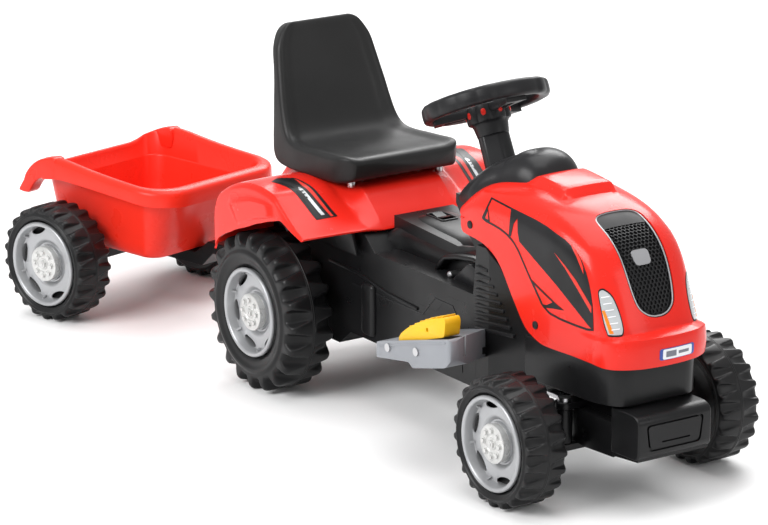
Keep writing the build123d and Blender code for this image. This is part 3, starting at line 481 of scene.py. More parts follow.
def plate(name, bottoms, tops, faces, rim):
    """Closed plate between two layers of points over the same cells."""
    count = len(bottoms)
    skin = []
    for face in faces:
        skin += [tuple(face), tuple(i + count for i in reversed(face))]
    skin += [(a, b, b + count, a + count) for a, b in rim]
    return add(name, bottoms + tops, skin)


def laid_point(start, direction, surface, step_back=0.2):
    """Place and outward normal where a line along the direction through the start meets a surface."""
    hit, normal, _, _ = surface.ray_cast(start - direction * step_back, direction)
    if hit is None:
        hit, normal, _, _ = surface.find_nearest(start)
    return hit, -normal if normal.dot(direction) > 0 else normal


def laid(name, outline, place, direction, surface, lift, thickness, cell=5.0):
    """Thin plate with this outline, laid along a direction on to a surface, lift mm above it."""
    points, faces, rim = cells(outline, cell)
    direction = Vector(direction).normalized()
    bottoms, tops = [], []
    for a, b in points:
        hit, normal = laid_point(place(a, b), direction, surface)
        bottoms.append(hit + normal * (lift - thickness) * MM)
        tops.append(hit + normal * lift * MM)
    return plate(name, bottoms, tops, faces, rim)


def side_plane(side, place=tractor):
    """Placing for outlines in X and Z, with the height measured out to one side from the middle plane."""
    return lambda a, b, h: place(a, side * h, b)


right_plane = side_plane(-1)
SIDES = {"right": -1, "left": 1}


def mirrored(thing, name):
    """Copy of a finished mesh on the other side of the tractor's middle plane."""
    mesh = thing.data.copy()
    flip = Matrix.Translation((0, 2 * ORIGIN.y, 0)) @ Matrix.Scale(-1, 4, (0, 1, 0))
    mesh.transform(flip @ thing.matrix_world)
    mesh.flip_normals()
    made = bpy.data.objects.new(name, mesh)
    bpy.context.scene.collection.objects.link(made)
    return made


def ribbon(centre, half_width):
    """Outline of a strip of even width along a polyline, or round it if it is closed."""
    left, right = [], []
    for i, here in enumerate(centre):
        before, after = Vector(centre[max(0, i - 1)]), Vector(centre[min(len(centre) - 1, i + 1)])
        side = (after - before).normalized()
        offset = Vector((-side.y, side.x)) * half_width
        left.append(tuple(Vector(here) + offset))
        right.append(tuple(Vector(here) - offset))
    return left + right[::-1]


def both_sides(thing, name, material, body, slot):
    """Hands over a right-hand piece and its mirror image."""
    other = mirrored(thing, name)
    piece(thing, name + "_right", material, body, slot)
    piece(other, name + "_left", material, body, slot)


# ---------------------------------------------------------------- wheels
BIG_R, BIG_W, SMALL_R, SMALL_W, OUTER_HALF = 120, 82, 91.5, 70, 201
LIP = 68.5  # the tyres are the same up to this radius
SIDEWALL = [(-30, 6), (-30, 64.3), (-8.6, 64.6), (-8.4, 69), (-6.2, 71), (-4.4, 73.5), (-3.4, 78), (-2.6, 82)]
SIDEWALL += [(-0.7, 85.5), (0, 88.5), (-0.5, 91), (-2.4, 93.5), (-3, 96), (-2.8, 98.5)]
LUG = [(-2.6, 103), (-2.8, 110), (-4, 115.2), (-7.5, 118.8), (-13, 120), (-25, 120), (-37.5, 119.8)]
GROOVE = [(-4.5, 101), (-9, 104.5), (-14, 106.2), (-19, 108), (-25, 110.5), (-32, 114.5), (-37.5, 119.2)]
NOTCH = [0.2, 0.27, 0.28, 0.27, 0.24, 0.19, 0.12]  # half the groove's width, in pitches
SEAM = [(-38.6, 119.2), (-39.2, 120), (-40.2, 120), (-40.6, 119.1)]
INNER_DISH = [(-16, 58), (-16, 24), (0, 22), (0, 6)]
MIDDLE_R = 119.1
PER_PITCH = 10  # points round the tread for each lug
GROOVE_DEPTH = (0, 0, 0.2, 0.92, 1, 1)  # over half a pitch, from the lug's middle to the groove's


def tyre(name, radius, width, lugs):
    """Tyre about local Z with its outer face at zero: smooth sidewall and two staggered rows of lugs."""
    stretch = (radius - LIP) / (BIG_R - LIP)

    def fit(a, r):
        return a * width / BIG_W, r if r <= LIP else LIP + (r - LIP) * stretch

    total = PER_PITCH * lugs

    def half(outer):
        """Rows of points round one half of the tread; the inner half is turned by half a pitch."""
        rows = []
        for index, (a, r) in enumerate(SIDEWALL + LUG + SEAM):
            step = index - len(SIDEWALL)
            row = []
            for j in range(total):
                pitch, q = divmod(j if outer else j - PER_PITCH // 2, PER_PITCH)
                share, aa, rr = q / PER_PITCH - 0.5, a, r
                if 0 <= step < len(LUG):
                    near, side = (q, 1) if q <= PER_PITCH // 2 else (PER_PITCH - q, -1)
                    notch = NOTCH[step]
                    share = side * (-0.5, -notch - 0.12, -notch - 0.05, -notch, -notch / 2, 0)[near]
                    depth = GROOVE_DEPTH[near]
                    ga, gr = GROOVE[step]
                    aa, rr = a + (ga - a) * depth, r + (gr - r) * depth
                angle = math.tau * (pitch + 0.5 + share + (0 if outer else 0.5)) / lugs
                aa, rr = fit(aa, rr)
                row.append((rr * math.cos(angle), rr * math.sin(angle), aa if outer else -width - aa))
            rows.append(row)
        return rows

    def circle(r, height):
        angles = [math.tau * j / total for j in range(total)]
        return [(r * math.cos(angle), r * math.sin(angle), height) for angle in angles]

    aa, rr = fit(-BIG_W / 2, MIDDLE_R)
    dish = [circle(r, -width - a) for a, r in INNER_DISH]
    rows = half(True) + [circle(rr, aa)] + half(False)[2:][::-1] + dish
    verts, faces = grid([[Vector(p) * MM for p in row] for row in rows], around=True, along=True)
    return modified(add(name, verts, faces), subdivided(1))


def flat(x, y, z):
    return Vector((x, y, z)) * MM


SLOTS, SLOT_CIRCLE = 6, 53
RIM_PROFILE = [(12, -20), (12, -15.9), (28.6, -15.9), (29.3, -19.6), (31.6, -19.6)]
RIM_PROFILE += [(35.4, -16), (37.5, -14.6)]
RIM_PROFILE += [(40, -14.2), (56, -15.4), (57.8, -14.6), (58.7, -12), (60.4, -3), (61.3, -1.2), (62.6, -0.4)]
RIM_PROFILE += [(64.4, -0.2), (66.2, -0.7), (67.3, -2), (67.5, -4.6), (64.1, -6), (64.1, -27), (60.5, -27)]
RIM_PROFILE += [(57, -17), (37, -17), (31, -22.6), (28, -22.6)]


def rim(name):
    """Rim dish with a rolled lip, oval slots round its floor and a small web between each pair of slots."""
    made = revolve(name, RIM_PROFILE, flat)
    tools, webs = [], []
    for k in range(SLOTS):
        angle = math.tau * k / SLOTS
        slot_turn = Matrix.Rotation(angle, 4, "Z")
        web_turn = Matrix.Rotation(angle + math.pi / SLOTS, 4, "Z")

        def slot_place(a, b, h, turn=slot_turn):
            return turn @ flat(a, b, h)

        def web_place(a, b, h, turn=web_turn):
            """The web's inner edge slopes out towards its top."""
            return turn @ flat(a + (3 if h > -13 and a < 58 else 0), b, h)

        outline = [(SLOT_CIRCLE + a, b) for a, b in superellipse(32, 5.4, 16, 2)]
        tools.append(prism("slot", outline, slot_place, -24, -8))
        web = [(54.5, -1.6), (60.6, -1.6), (60.6, 1.6), (54.5, 1.6)]
        webs.append(prism("web", web, web_place, -14, -8.5))
    cut(made, *tools)
    return joined(made, *webs)


CAP_PROFILE = [(0, -15.8), (27, -15.8), (28.2, -7), (27.6, -5), (26, -4), (13.4, -4), (12.2, -5.4), (9, -5.4)]
CAP_PROFILE += [(8, -4), (0, -4)]


def hexagon(radius, turn=0.0, a=0.0, b=0.0):
    """Six corners round the point (a, b)."""
    angles = [turn + math.tau * k / 6 for k in range(6)]
    return [(a + radius * math.cos(angle), b + radius * math.sin(angle)) for angle in angles]


def hub_cap(name):
    """Hub plate with eight nuts on washers round a larger centre nut."""
    made = revolve(name, CAP_PROFILE, flat, segments=64)
    parts = []
    for k in range(8):
        turn = Matrix.Rotation(math.tau * k / 8, 4, "Z")

        def round_it(a, b, h, turn=turn):
            return turn @ flat(a + 18.6, b, h)

        washer = prism("washer", superellipse(20, 5.2, 5.2, 2), round_it, -4.6, -3.3)
        nut = modified(prism("nut", hexagon(3.9, 0.3 * k), round_it, -3.8, -0.8), bevel(0.5))
        parts += [washer, nut]
    parts.append(modified(prism("centre", hexagon(6.6), flat, -4.6, -1), bevel(0.7)))
    parts.append(modified(prism("stud", superellipse(16, 3.1, 3.1, 2), flat, -1, 0.2), bevel(0.8)))
    return joined(made, *parts)


def wheel_matrix(place, x, side, z):
    """Wheel frame: local +Z outwards, local +X down, at the tyre's outer face."""
    hub = place(x, side * OUTER_HALF, z)
    down = (place(x, side * OUTER_HALF, z - 100) - hub).normalized()
    outwards = (place(x, side, z) - place(x, 0, z)).normalized()
    across = outwards.cross(down)
    matrix = Matrix((down, across, outwards)).transposed().to_4x4()
    matrix.translation = hub
    return matrix


def instance(mesh, name):
    made = bpy.data.objects.new(name, mesh)
    bpy.context.scene.collection.objects.link(made)
    return made


WHEELS = [
    # name, body, placing, wheel X, side, tyre radius, first slot's angle
    ("rear_{}_right", "right_drive_wheel", tractor, 0, -1, BIG_R, 42),
    ("rear_{}_left", "left_rear_wheel", tractor, 0, 1, BIG_R, 42),
    ("front_{}_right", "right_front_wheel", tractor, 617, -1, SMALL_R, 14.5),
    ("front_{}_left", "left_front_wheel", tractor, 617, 1, SMALL_R, 14.5),
    ("trailer_{}_right", "right_trailer_wheel", trailer, 0, -1, SMALL_R, 23),
    ("trailer_{}_left", "left_trailer_wheel", trailer, 0, 1, SMALL_R, 23),
]
tyre_meshes = {BIG_R: tyre("big_tyre", BIG_R, BIG_W, 20), SMALL_R: tyre("small_tyre", SMALL_R, SMALL_W, 22)}
rim_shape, cap_shape = rim("rim"), hub_cap("cap")
for name, body, place, x, side, radius, slot_angle in WHEELS:
    matrix = wheel_matrix(place, x, side, radius)
    turned = matrix @ Matrix.Rotation(math.radians(slot_angle), 4, "Z")
    for kind, shape, at, look, slot in (
        ("tyre", tyre_meshes[radius], matrix, "tyre_black", "black_tyre"),
        ("rim", rim_shape, turned, "silver_rim", "silver_rim"),
        ("cap", cap_shape, matrix, "silver_cap", "silver_cap"),
    ):
        node_name = name.format(kind)
        made = instance(shape.data, node_name + "_shape")
        made.matrix_world = at
        piece(made, node_name + "_shape", look, body, slot, node_name, sharp=40 if kind != "tyre" else 50)
for shape in (*tyre_meshes.values(), rim_shape, cap_shape):
    bpy.data.objects.remove(shape)

# ---------------------------------------------------------------- hood
HOOD_PIVOT = (560, 150)  # the hood's sections fan out round this X and Z
HOOD_TOP = [(381, 365), (403, 386), (429, 400), (470, 407), (510, 407), (552, 404), (588, 399)]
HOOD_TOP += [(620, 391), (643, 382), (664, 371), (682, 356), (696, 338), (708, 315), (718, 292)]
HOOD_TOP += [(727, 271), (733, 256), (737, 240), (738, 222), (736, 206)]
HOOD_EDGE = [(396, 346), (399, 326), (415, 322), (433, 321), (452, 318), (468, 312), (481, 305)]
HOOD_EDGE += [(492, 295), (504, 280), (516, 263), (528, 247), (540, 231), (552, 219), (568, 211)]
HOOD_EDGE += [(585, 206), (606, 205), (645, 205), (682, 205)]
SHOULDER_DROP = [(16, 44), (30, 47), (42, 50), (55, 54), (70, 52), (90, 53), (110, 54), (120, 46)]
SHOULDER_DROP += [(127, 33), (131, 26)]
HOOD_POWER = 2.9
# By fan angle, the way in from the centre line to the shoulder.
INSET_TURN = [(16, 0), (34, 14), (60, 60), (131, 131)]
# By plan angle from straight ahead, the top of the nose band and how far it stands out.
NOSE_LEDGE_Z = [(0, 252), (35, 251), (60, 247), (90, 244)]
NOSE_LEDGE_OUT = [(0, 19), (30, 18), (55, 12), (75, 5), (90, 3)]


def polar(x, z):
    dx, dz = x - HOOD_PIVOT[0], z - HOOD_PIVOT[1]
    return math.degrees(math.atan2(dz, dx)), math.hypot(dx, dz)


top_polar = sorted(polar(x, z) for x, z in smooth(HOOD_TOP, 8))
FAN_LOW, FAN_HIGH = top_polar[0][0], top_polar[-1][0]


def hood_half_width(x):
    return along_table([(380, 94), (440, 95.5), (520, 94), (600, 90), (660, 84), (700, 80), (764, 77)], x)


def hood_point(fan, y_share):
    """Point of the hood's outer skin at a fan angle; y_share is 0 in the middle, 1 at the side's top."""
    rho_c = along_table(top_polar, fan)
    drop = along_table(SHOULDER_DROP, fan)
    side, inset = math.radians(fan), math.radians(along_table(INSET_TURN, fan))
    x, z = HOOD_PIVOT[0] + rho_c * math.cos(side), HOOD_PIVOT[1] + rho_c * math.sin(side)
    half = hood_half_width(x - drop * math.cos(inset))
    turn = min(1.0, abs(y_share)) * math.pi / 2
    y = half * math.sin(turn) ** (2 / HOOD_POWER)
    inwards = drop * (1 - max(0.0, math.cos(turn)) ** (2 / HOOD_POWER))
    return x - inwards * math.cos(inset), math.copysign(y, y_share), z - inwards * math.sin(inset)


def hood_detail(x, y, z):
    """Adds the raised scoop and the stepped nose band to a point of the smooth skin."""
    scoop = 13 * ease((x - 476) / 32) * (1 - ease((x - 562) / 17)) * (1 - ease((abs(y) - 39) / 8))
    if z > 370:
        z += scoop
    ahead = math.hypot(max(0.0, x - 690) / 58, abs(y) / 85)
    plan = math.degrees(math.atan2(abs(y) / 85, max(0.0, x - 690) / 58)) if ahead else 0
    below = ease((along_table(NOSE_LEDGE_Z, plan) - z) / 4.5)
    out = along_table(NOSE_LEDGE_OUT, plan) * below * ease((x - 640) / 60)
    spread = math.radians(plan)
    x += out * math.cos(spread)
    y += math.copysign(out * math.sin(spread), y)
    return x, y, z


FAN_KNEE = 33  # the rows are closer together below this angle, in front of the nose
FAN_STEPS = [FAN_LOW + (FAN_KNEE - FAN_LOW) * k / 26 for k in range(26)]
FAN_STEPS += [FAN_KNEE + (FAN_HIGH - FAN_KNEE) * k / 78 for k in range(79)]
ACROSS, DOWN = 30, 22
shoulder_line = [hood_point(fan, 1) for fan in FAN_STEPS]
last_x, _, last_z = shoulder_line[0]
EDGE_POINTS = 400
edge_line = resampled(smooth(HOOD_EDGE, 6) + [(last_x - 6, last_z)], EDGE_POINTS)
reach = [0.0]
for (x0, _, z0), (x1, _, z1) in zip(shoulder_line, shoulder_line[1:]):
    reach.append(reach[-1] + math.hypot(x1 - x0, z1 - z0))
hood_rows = []
for fan, (sx, sy, sz), run in zip(FAN_STEPS, shoulder_line, reach):
    ex, ez = edge_line[round((1 - run / reach[-1]) * (EDGE_POINTS - 1))]
    sides = []
    for k in range(1, DOWN + 1):
        share = k / DOWN
        x, z = sx + (ex - sx) * share, sz + (ez - sz) * share
        sides.append((x, hood_half_width(x), z))
    over = [hood_point(fan, k / ACROSS) for k in range(-ACROSS, ACROSS + 1)]
    row = [(x, -y, z) for x, y, z in reversed(sides)] + over + sides
    hood_rows.append([tractor(*hood_detail(*p)) for p in row])
hood_skin = add("hood", *grid(hood_rows))
if max(hood_skin.data.polygons, key=lambda f: f.center.z).normal.z < 0:
    hood_skin.data.flip_normals()
hood_surface = surface_of(hood_skin)


SEARCH_STEPS = 24  # halvings when a place across the hood is looked for


def on_hood(run, y, lift):
    """Point lift mm over the hood's middle part. run is the distance forwards and down from X 629, Z 393."""
    fan = along_table(run_to_fan, run)
    low, high = 0.0, 1.0
    for _ in range(SEARCH_STEPS):
        middle = (low + high) / 2
        if hood_point(fan, middle)[1] < abs(y):
            low = middle
        else:
            high = middle
    share = math.copysign(low, y)
    here = Vector(hood_point(fan, share))
    ahead = Vector(hood_point(fan - 0.5, share)) - Vector(hood_point(fan + 0.5, share))
    across = Vector(hood_point(fan, share + 0.02)) - Vector(hood_point(fan, share - 0.02))
    return tractor(*(here + across.cross(ahead).normalized() * -lift))


grille_start = polar(628, 388)[0]
run_to_fan = [(-30.0, grille_start + 8)]
travelled, last = 0.0, Vector(hood_point(grille_start, 0))
for k in range(161):
    fan = grille_start - 0.3 * k
    here = Vector(hood_point(fan, 0))
    travelled += (here - last).length
    last = here
    run_to_fan.append((travelled, fan))
if (on_hood(80, 0, 10) - on_hood(80, 0, 0)).x < 0:
    raise SystemExit("the grille would face inwards")
GRILLE_HALF = [(-8, 0), (-7.5, 15), (-5.5, 27), (0, 35.5), (12, 39), (38, 39), (70, 38.5), (102, 37.5)]
GRILLE_HALF += [(130, 35), (149, 30), (160, 19), (164, 8)]
other_half = [(run, -y) for run, y in [(164.5, 0)] + GRILLE_HALF[:0:-1]]
grille_edge = smooth(GRILLE_HALF + other_half, 4, closed=True)


def shrunk(outline, amount):
    """Closed outline moved inwards by an amount."""
    area = sum(a[0] * b[1] - b[0] * a[1] for a, b in zip(outline, outline[1:] + outline[:1]))
    out = []
    for i, here in enumerate(outline):
        before, after = Vector(outline[i - 1]), Vector(outline[(i + 1) % len(outline)])
        along = (after - before).normalized()
        inwards = Vector((-along.y, along.x)) if area > 0 else Vector((along.y, -along.x))
        out.append(tuple(Vector(here) + inwards * amount))
    return out


def patch(name, outline, place, low, high, cell=6.0):
    """Plate with this outline between two heights over a curved surface, which place gives."""
    points, faces, rim = cells(outline, cell, triangles=False)
    layers = [[place(a, b, height) for a, b in points] for height in (low, high)]
    return plate(name, *layers, faces, rim)


hood_shell = modified(hood_skin, ("SOLIDIFY", {"thickness": 3 * MM, "offset": -1, "use_rim": True}))
opening = [[on_hood(a, b, height) for a, b in shrunk(grille_edge, -1.5)] for height in (-9, 12)]
opening[1] = [p + (on_hood(80, 0, 30) - on_hood(80, 0, 0)) for p in opening[1]]
rod_bore = revolve("bore", [(0, -160), (7.5, -160), (7.5, -100), (0, -100)], column, 24)
cut(hood_shell, loft("opening", opening), rod_bore)
piece(hood_shell, "hood_shape", "red_shell", "tractor", "red_shell", "hood", sharp=28)

# Grille: black tray, hexagonal mesh, smooth badge area above it and a bright outline.
tray = patch("tray", shrunk(grille_edge, -0.6), on_hood, -8, -5.2)
piece(tray, "grille_tray", "mesh_black", "tractor", "black_mesh", "grille")
rim_out, rim_in = shrunk(grille_edge, -1.2), shrunk(grille_edge, 3.2)
rows = []
for (a, b), (c, d) in zip(rim_out, rim_in):
    rows.append([on_hood(a, b, -6), on_hood(a, b, -2.2), on_hood(c, d, -2.8), on_hood(c, d, -6)])
surround = add("surround", *grid(rows, around=True, along=True))
piece(surround, "grille_surround", "mesh_black", "tractor", "black_mesh")
rows = []
for (a, b), (c, d) in zip(shrunk(grille_edge, 0.9), shrunk(grille_edge, 2.9)):
    rows.append([on_hood(a, b, -3), on_hood(a, b, -1.4), on_hood(c, d, -1.4), on_hood(c, d, -3)])
line = modified(add("line", *grid(rows, around=True, along=True)), bevel(0.4))
piece(line, "grille_outline", "silver_line", "tractor", "black_mesh")


def inside(outline, a, b):
    """True if the point is inside the closed outline."""
    found = False
    for (a0, b0), (a1, b1) in zip(outline, outline[1:] + outline[:1]):
        if (b0 > b) != (b1 > b) and a < (a1 - a0) * (b - b0) / (b1 - b0) + a0:
            found = not found
    return found


HEX_PITCH, HEX_HOLE = 6.6, 2.9  # distance between the holes' middles, radius of a hole
MESH_START = 30  # run of the first row of holes, below the smooth badge area
mesh_edge = shrunk(grille_edge, 3)
verts, faces = [], []
row_step = HEX_PITCH * math.sqrt(3) / 2
for i in range(-1, 30):
    for j in range(-9, 10):
        a, b = MESH_START + i * row_step, (j + 0.5 * (i % 2)) * HEX_PITCH
        ring = hexagon(HEX_PITCH / math.sqrt(3), 0, a, b)
        if not all(inside(mesh_edge, *p) for p in ring):
            continue
        hole = hexagon(HEX_HOLE, 0, a, b)
        base = len(verts)
        for heights in (-2.6, -5.4):
            verts += [on_hood(*p, heights) for p in ring] + [on_hood(*p, heights - 0.3) for p in hole]
        for k in range(6):
            n = (k + 1) % 6
            faces.append((base + k, base + n, base + 6 + n, base + 6 + k))
            faces.append((base + 12 + k, base + 18 + k, base + 18 + n, base + 12 + n))
            faces.append((base + 6 + k, base + 6 + n, base + 18 + n, base + 18 + k))
            faces.append((base + k, base + 12 + k, base + 12 + n, base + n))
mesh = bpy.data.meshes.new("lattice")
mesh.from_pydata([tuple(v) for v in verts], [], faces)
lattice = bpy.data.objects.new("lattice", mesh)
bpy.context.scene.collection.objects.link(lattice)
work = bmesh.new()
work.from_mesh(mesh)
bmesh.ops.remove_doubles(work, verts=work.verts, dist=5e-5)
doubled = {}
for face in work.faces:
    doubled.setdefault(tuple(sorted(v.index for v in face.verts)), []).append(face)
shared = [face for same in doubled.values() if len(same) > 1 for face in same]
bmesh.ops.delete(work, geom=shared, context="FACES_ONLY")
bmesh.ops.recalc_face_normals(work, faces=work.faces)
work.to_mesh(mesh)
work.free()
piece(lattice, "grille_mesh", "mesh_black", "tractor", "black_mesh")
badge_area = patch("badge", [p for p in shrunk(grille_edge, 3.2) if p[0] < 28], on_hood, -5, -2.4)
piece(badge_area, "grille_badge_area", "decal_shade", "tractor", "black_mesh")
# Painted highlight: a light grey patch behind the hexagonal mesh, in the middle of the grille.
grille_highlight_patch = patch("plate", rounded([(68, -18), (68, 11), (91, 10), (91, -16)], 7), on_hood, -4.6, -2.2)
piece(grille_highlight_patch, "grille_painted_highlight", "grille_highlight_paint", "tractor", "black_mesh")

# ---------------------------------------------------------------- hood decals and lamps
LOOK = (-4030, 2984, -1488)  # the way the decals are laid on from the right
DECAL_PLANE = -92


def side_place(a, b):
    return tractor(a, DECAL_PLANE, b)


def decal(name, outline, lift, material):
    """Thin decal on the right side of the hood and its mirror image on the left."""
    made = laid(name, outline, side_place, LOOK, hood_surface, lift, 0.35, 6.0)
    both_sides(made, name, material, "tractor", "red_shell")


DECAL_EDGE = [(466, 388), (490, 386), (513, 384), (542, 382), (571, 380), (595, 377), (617, 372)]
DECAL_EDGE += [(637, 368), (654, 362), (667, 355), (677, 346), (686, 333), (692, 321), (697, 307)]
DECAL_EDGE += [(701, 291), (703, 274), (704, 256)]
DECAL_BACK = [(690, 253), (660, 252), (630, 252), (604, 254), (586, 262), (565, 285), (553, 298)]
DECAL_BACK += [(541, 312), (529, 326), (518, 335), (503, 342), (486, 346), (470, 348), (455, 349)]
DECAL_BACK += [(443, 352)]
outline_line = resampled(DECAL_EDGE + DECAL_BACK + DECAL_EDGE[:1], 130)[:-1]
verts, faces = [], []
direction = Vector(LOOK).normalized()
for a, b in outline_line + shrunk(outline_line, 3.0):
    hit, normal = laid_point(side_place(a, b), direction, hood_surface)
    verts += [hit + normal * 0.1 * MM, hit + normal * 0.5 * MM]
count = len(outline_line)
for i in range(count):
    out, out_next, into, into_next = (2 * k for k in (i, (i + 1) % count, count + i, count + (i + 1) % count))
    faces += [(out, out_next, into_next, into), (out + 1, into + 1, into_next + 1, out_next + 1)]
    faces += [(out, out + 1, out_next + 1, out_next), (into_next, into_next + 1, into + 1, into)]
both_sides(add("frame", verts, faces), "hood_decal_line", "decal_black", "tractor", "red_shell")
PANEL = [(513, 384), (542, 382), (571, 380), (595, 377), (617, 372), (637, 368), (654, 362), (667, 355)]
PANEL += [(677, 346), (686, 333), (692, 321), (697, 307), (701, 291), (703, 274), (704, 256), (690, 262)]
PANEL += [(618, 300), (533, 340), (529, 352), (528, 372), (519, 362), (513, 343), (508, 341), (510, 362)]
decal("hood_decal_panel", PANEL, 0.6, "decal_shade")
LONG_SLASH = [(614, 344), (640, 327), (667, 306), (699, 280), (699, 289), (664, 317), (640, 331)]
decal("hood_decal_slash_long", LONG_SLASH, 0.9, "red_decal")
SHORT_SLASH = [(650, 364), (664, 350), (680, 330), (679, 339), (672, 350), (661, 359)]
decal("hood_decal_slash_short", SHORT_SLASH, 0.9, "red_decal")
TRIANGLE = [(559, 294), (590, 283), (619, 273), (637, 268), (610, 264), (590, 260)]
decal("hood_decal_triangle", TRIANGLE, 0.6, "decal_black")
INNER_TRIANGLE = [(570, 287), (593, 279), (611, 273), (598, 266), (590, 265)]
decal("hood_decal_triangle_inner", INNER_TRIANGLE, 0.9, "red_shell")
decal("hood_decal_notch", [(458, 373), (463, 352), (455, 351), (447, 353)], 0.6, "decal_black")
decal("hood_decal_notch_inner", [(459, 366), (460, 354), (453, 355)], 0.9, "red_shell")

LAMP_PLANE = -80


def lamp_place(a, b):
    return tractor(a, LAMP_PLANE, b)


LAMP = [(699, 307), (704, 311), (712, 312), (728, 307), (743, 290), (752, 272)]
LAMP += [(752, 263), (746, 259), (723, 253.5)]
LAMP += [(719, 256), (712, 267), (705, 285), (700, 300)]
LAMP = smooth(LAMP, 3, closed=True)
AMBER = rounded([(706, 283), (712, 285), (733, 257.5), (724, 255)], 1)
for name, outline, lift, thick, material in (
    ("headlamp_gap", shrunk(LAMP, -2.6), 0.3, 1.4, "mesh_black"),
    ("headlamp_lens", LAMP, 0.9, 1.2, "lamp_clear"),
    ("headlamp_amber", AMBER, 1.3, 0.6, "lamp_amber"),
):
    made = laid(name, outline, lamp_place, LOOK, hood_surface, lift, thick, 3.0)
    both_sides(made, name, material, "tractor", "lamp_clear")
    if name == "headlamp_lens":
        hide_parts("headlamps")
for k, (a, b) in enumerate([(713, 303), (718, 295), (723, 287), (728, 279), (733, 271), (737, 263.5)]):
    rib = ribbon([(a - 9, b - 2), (a + 9, b + 4)], 0.7)
    made = laid("rib", rib, lamp_place, LOOK, hood_surface, 1.5, 0.9, 3.0)
    other = mirrored(made, "rib_left")
    piece(made, f"headlamp_rib_right_{k}", "plate_white", "tractor", "lamp_clear")
    piece(other, f"headlamp_rib_left_{k}", "plate_white", "tractor", "lamp_clear")


def nose_place(a, b):
    return tractor(800, a, b)


for name, outline, lift, material in (
    ("nose_plate", rounded([(-15, 216), (35, 216), (35, 230), (-15, 230)], 3), 1.2, "plate_white"),
    ("nose_plate_edge", rounded([(-20, 215), (40, 215), (40, 231), (-20, 231)], 4), 0.6, "plate_blue"),
    ("nose_plate_bar", [(-10, 219), (7, 219), (7, 227), (-10, 227)], 1.5, "plate_grey"),
    ("nose_plate_bar_thin", [(11, 221), (29, 221), (29, 225), (11, 225)], 1.5, "plate_grey"),
):
    made = laid(name, outline, nose_place, (-1, 0, 0), hood_surface, lift, 0.8, 6.0)
    piece(made, name, material, "tractor", "red_shell")

HEAD = [(0, -9), (1.9, -9), (1.9, -1), (6, -1), (5.6, 1.4), (3.6, 2.4), (0, 2.6)]
for x, z in ((420, 338), (571, 230)):
    for side_name, side in SIDES.items():
        out = side_plane(side)
        half = hood_half_width(x)
        head = revolve("screw", HEAD, lambda a, b, h: out(x + a, z + b, half + h), 24)
        piece(head, f"hood_screw_{side_name}_{x}", "cover_black", "tractor", "steel")
        if side_name == "right" and x == 420:
            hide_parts("hood_screws")

# ---------------------------------------------------------------- seat
# Stations down the back and forward along the pan:
# rim line x, z; rear or under side x, z; half width; dish depth.
SEAT = [
    (-115, 519, -123, 517, 44, 0.3),
    (-109, 521, -128, 515, 54, 1),
    (-103, 516, -127, 507, 66, 3),
    (-98, 504, -121, 494, 76, 4.5),
    (-92, 488, -112, 479, 84, 5.5),
    (-84, 465, -103, 456, 88.5, 6),
    (-76, 443, -97, 432, 92, 6),
    (-69, 424, -93, 410, 95, 6),
    (-60, 400, -89, 382, 98, 6),
    (-50, 379, -86, 354, 100.5, 6.5),
    (-39, 366, -81, 333, 102.5, 7),
    (-24, 359.5, -66, 321, 104, 7),
    (0, 358.5, -32, 318, 105, 7),
    (35, 361, 18, 319, 105.5, 7),
    (65, 363, 58, 321, 105.5, 6.5),
    (88, 365, 84, 323, 105, 5.5),
    (103, 366, 99, 325, 102, 4.5),
    (113, 364.5, 109, 327, 97, 3),
    (119, 360.5, 115, 330, 91, 1.5),
    (121.5, 355, 118, 334, 86, 0.4),
]


def seat_section(station, count=15):
    """Closed loop across the seat: dished front, round rim, straight flank and flat back."""
    rim_x, rim_z, rear_x, rear_z, half, dish = station
    rim, rear = Vector((rim_x, 0, rim_z)), Vector((rear_x, 0, rear_z))
    depth = (rear - rim).length
    down = (rear - rim).normalized()
    ring = []
    round_r = min(8.0, depth * 0.4, 2 + dish)
    for k in range(count + 1):  # half of the front, from the middle to the rim's crest
        share = k / count
        y = (half - round_r) * share
        fall = dish * 0.75 * (1 - ease((share - 0.82) / 0.17)) + dish * 0.2 * (1 - share**2)
        ring.append((y, fall))
    for k in range(1, 6):  # round rim
        turn = math.radians(90 * k / 5)
        ring.append((half - round_r + round_r * math.sin(turn), round_r * (1 - math.cos(turn))))
    low_r = min(6.0, depth * 0.3)
    for share in (0.33, 0.66):
        ring.append((half, round_r + (depth - round_r - low_r) * share))
    for k in range(6):  # round lower edge
        turn = math.radians(90 * k / 5)
        ring.append((half - low_r + low_r * math.cos(turn), depth - low_r + low_r * math.sin(turn)))
    for share in (0.66, 0.33, 0):
        ring.append(((half - low_r) * share, depth))
    whole = ring + [(-y, fall) for y, fall in reversed(ring[1:-1])]
    return [tractor(*(rim + down * fall + Vector((0, y, 0)))) for y, fall in whole]


seat = loft("seat", [seat_section(s) for s in smooth(SEAT, 5)])
seat = modified(seat, bevel(2.5, 2, 50))
piece(seat, "seat_shape", "seat_black", "tractor", "black_seat", "seat", sharp=50)
for name, side in SIDES.items():
    round_it = [(94 + a, side * 78 + b) for a, b in superellipse(20, 6, 6, 2)]
    bolt = modified(prism("bolt", round_it, tractor, 315, 326), bevel(1.5))
    piece(bolt, f"seat_bolt_{name}", "zinc_steel", "tractor", "steel")

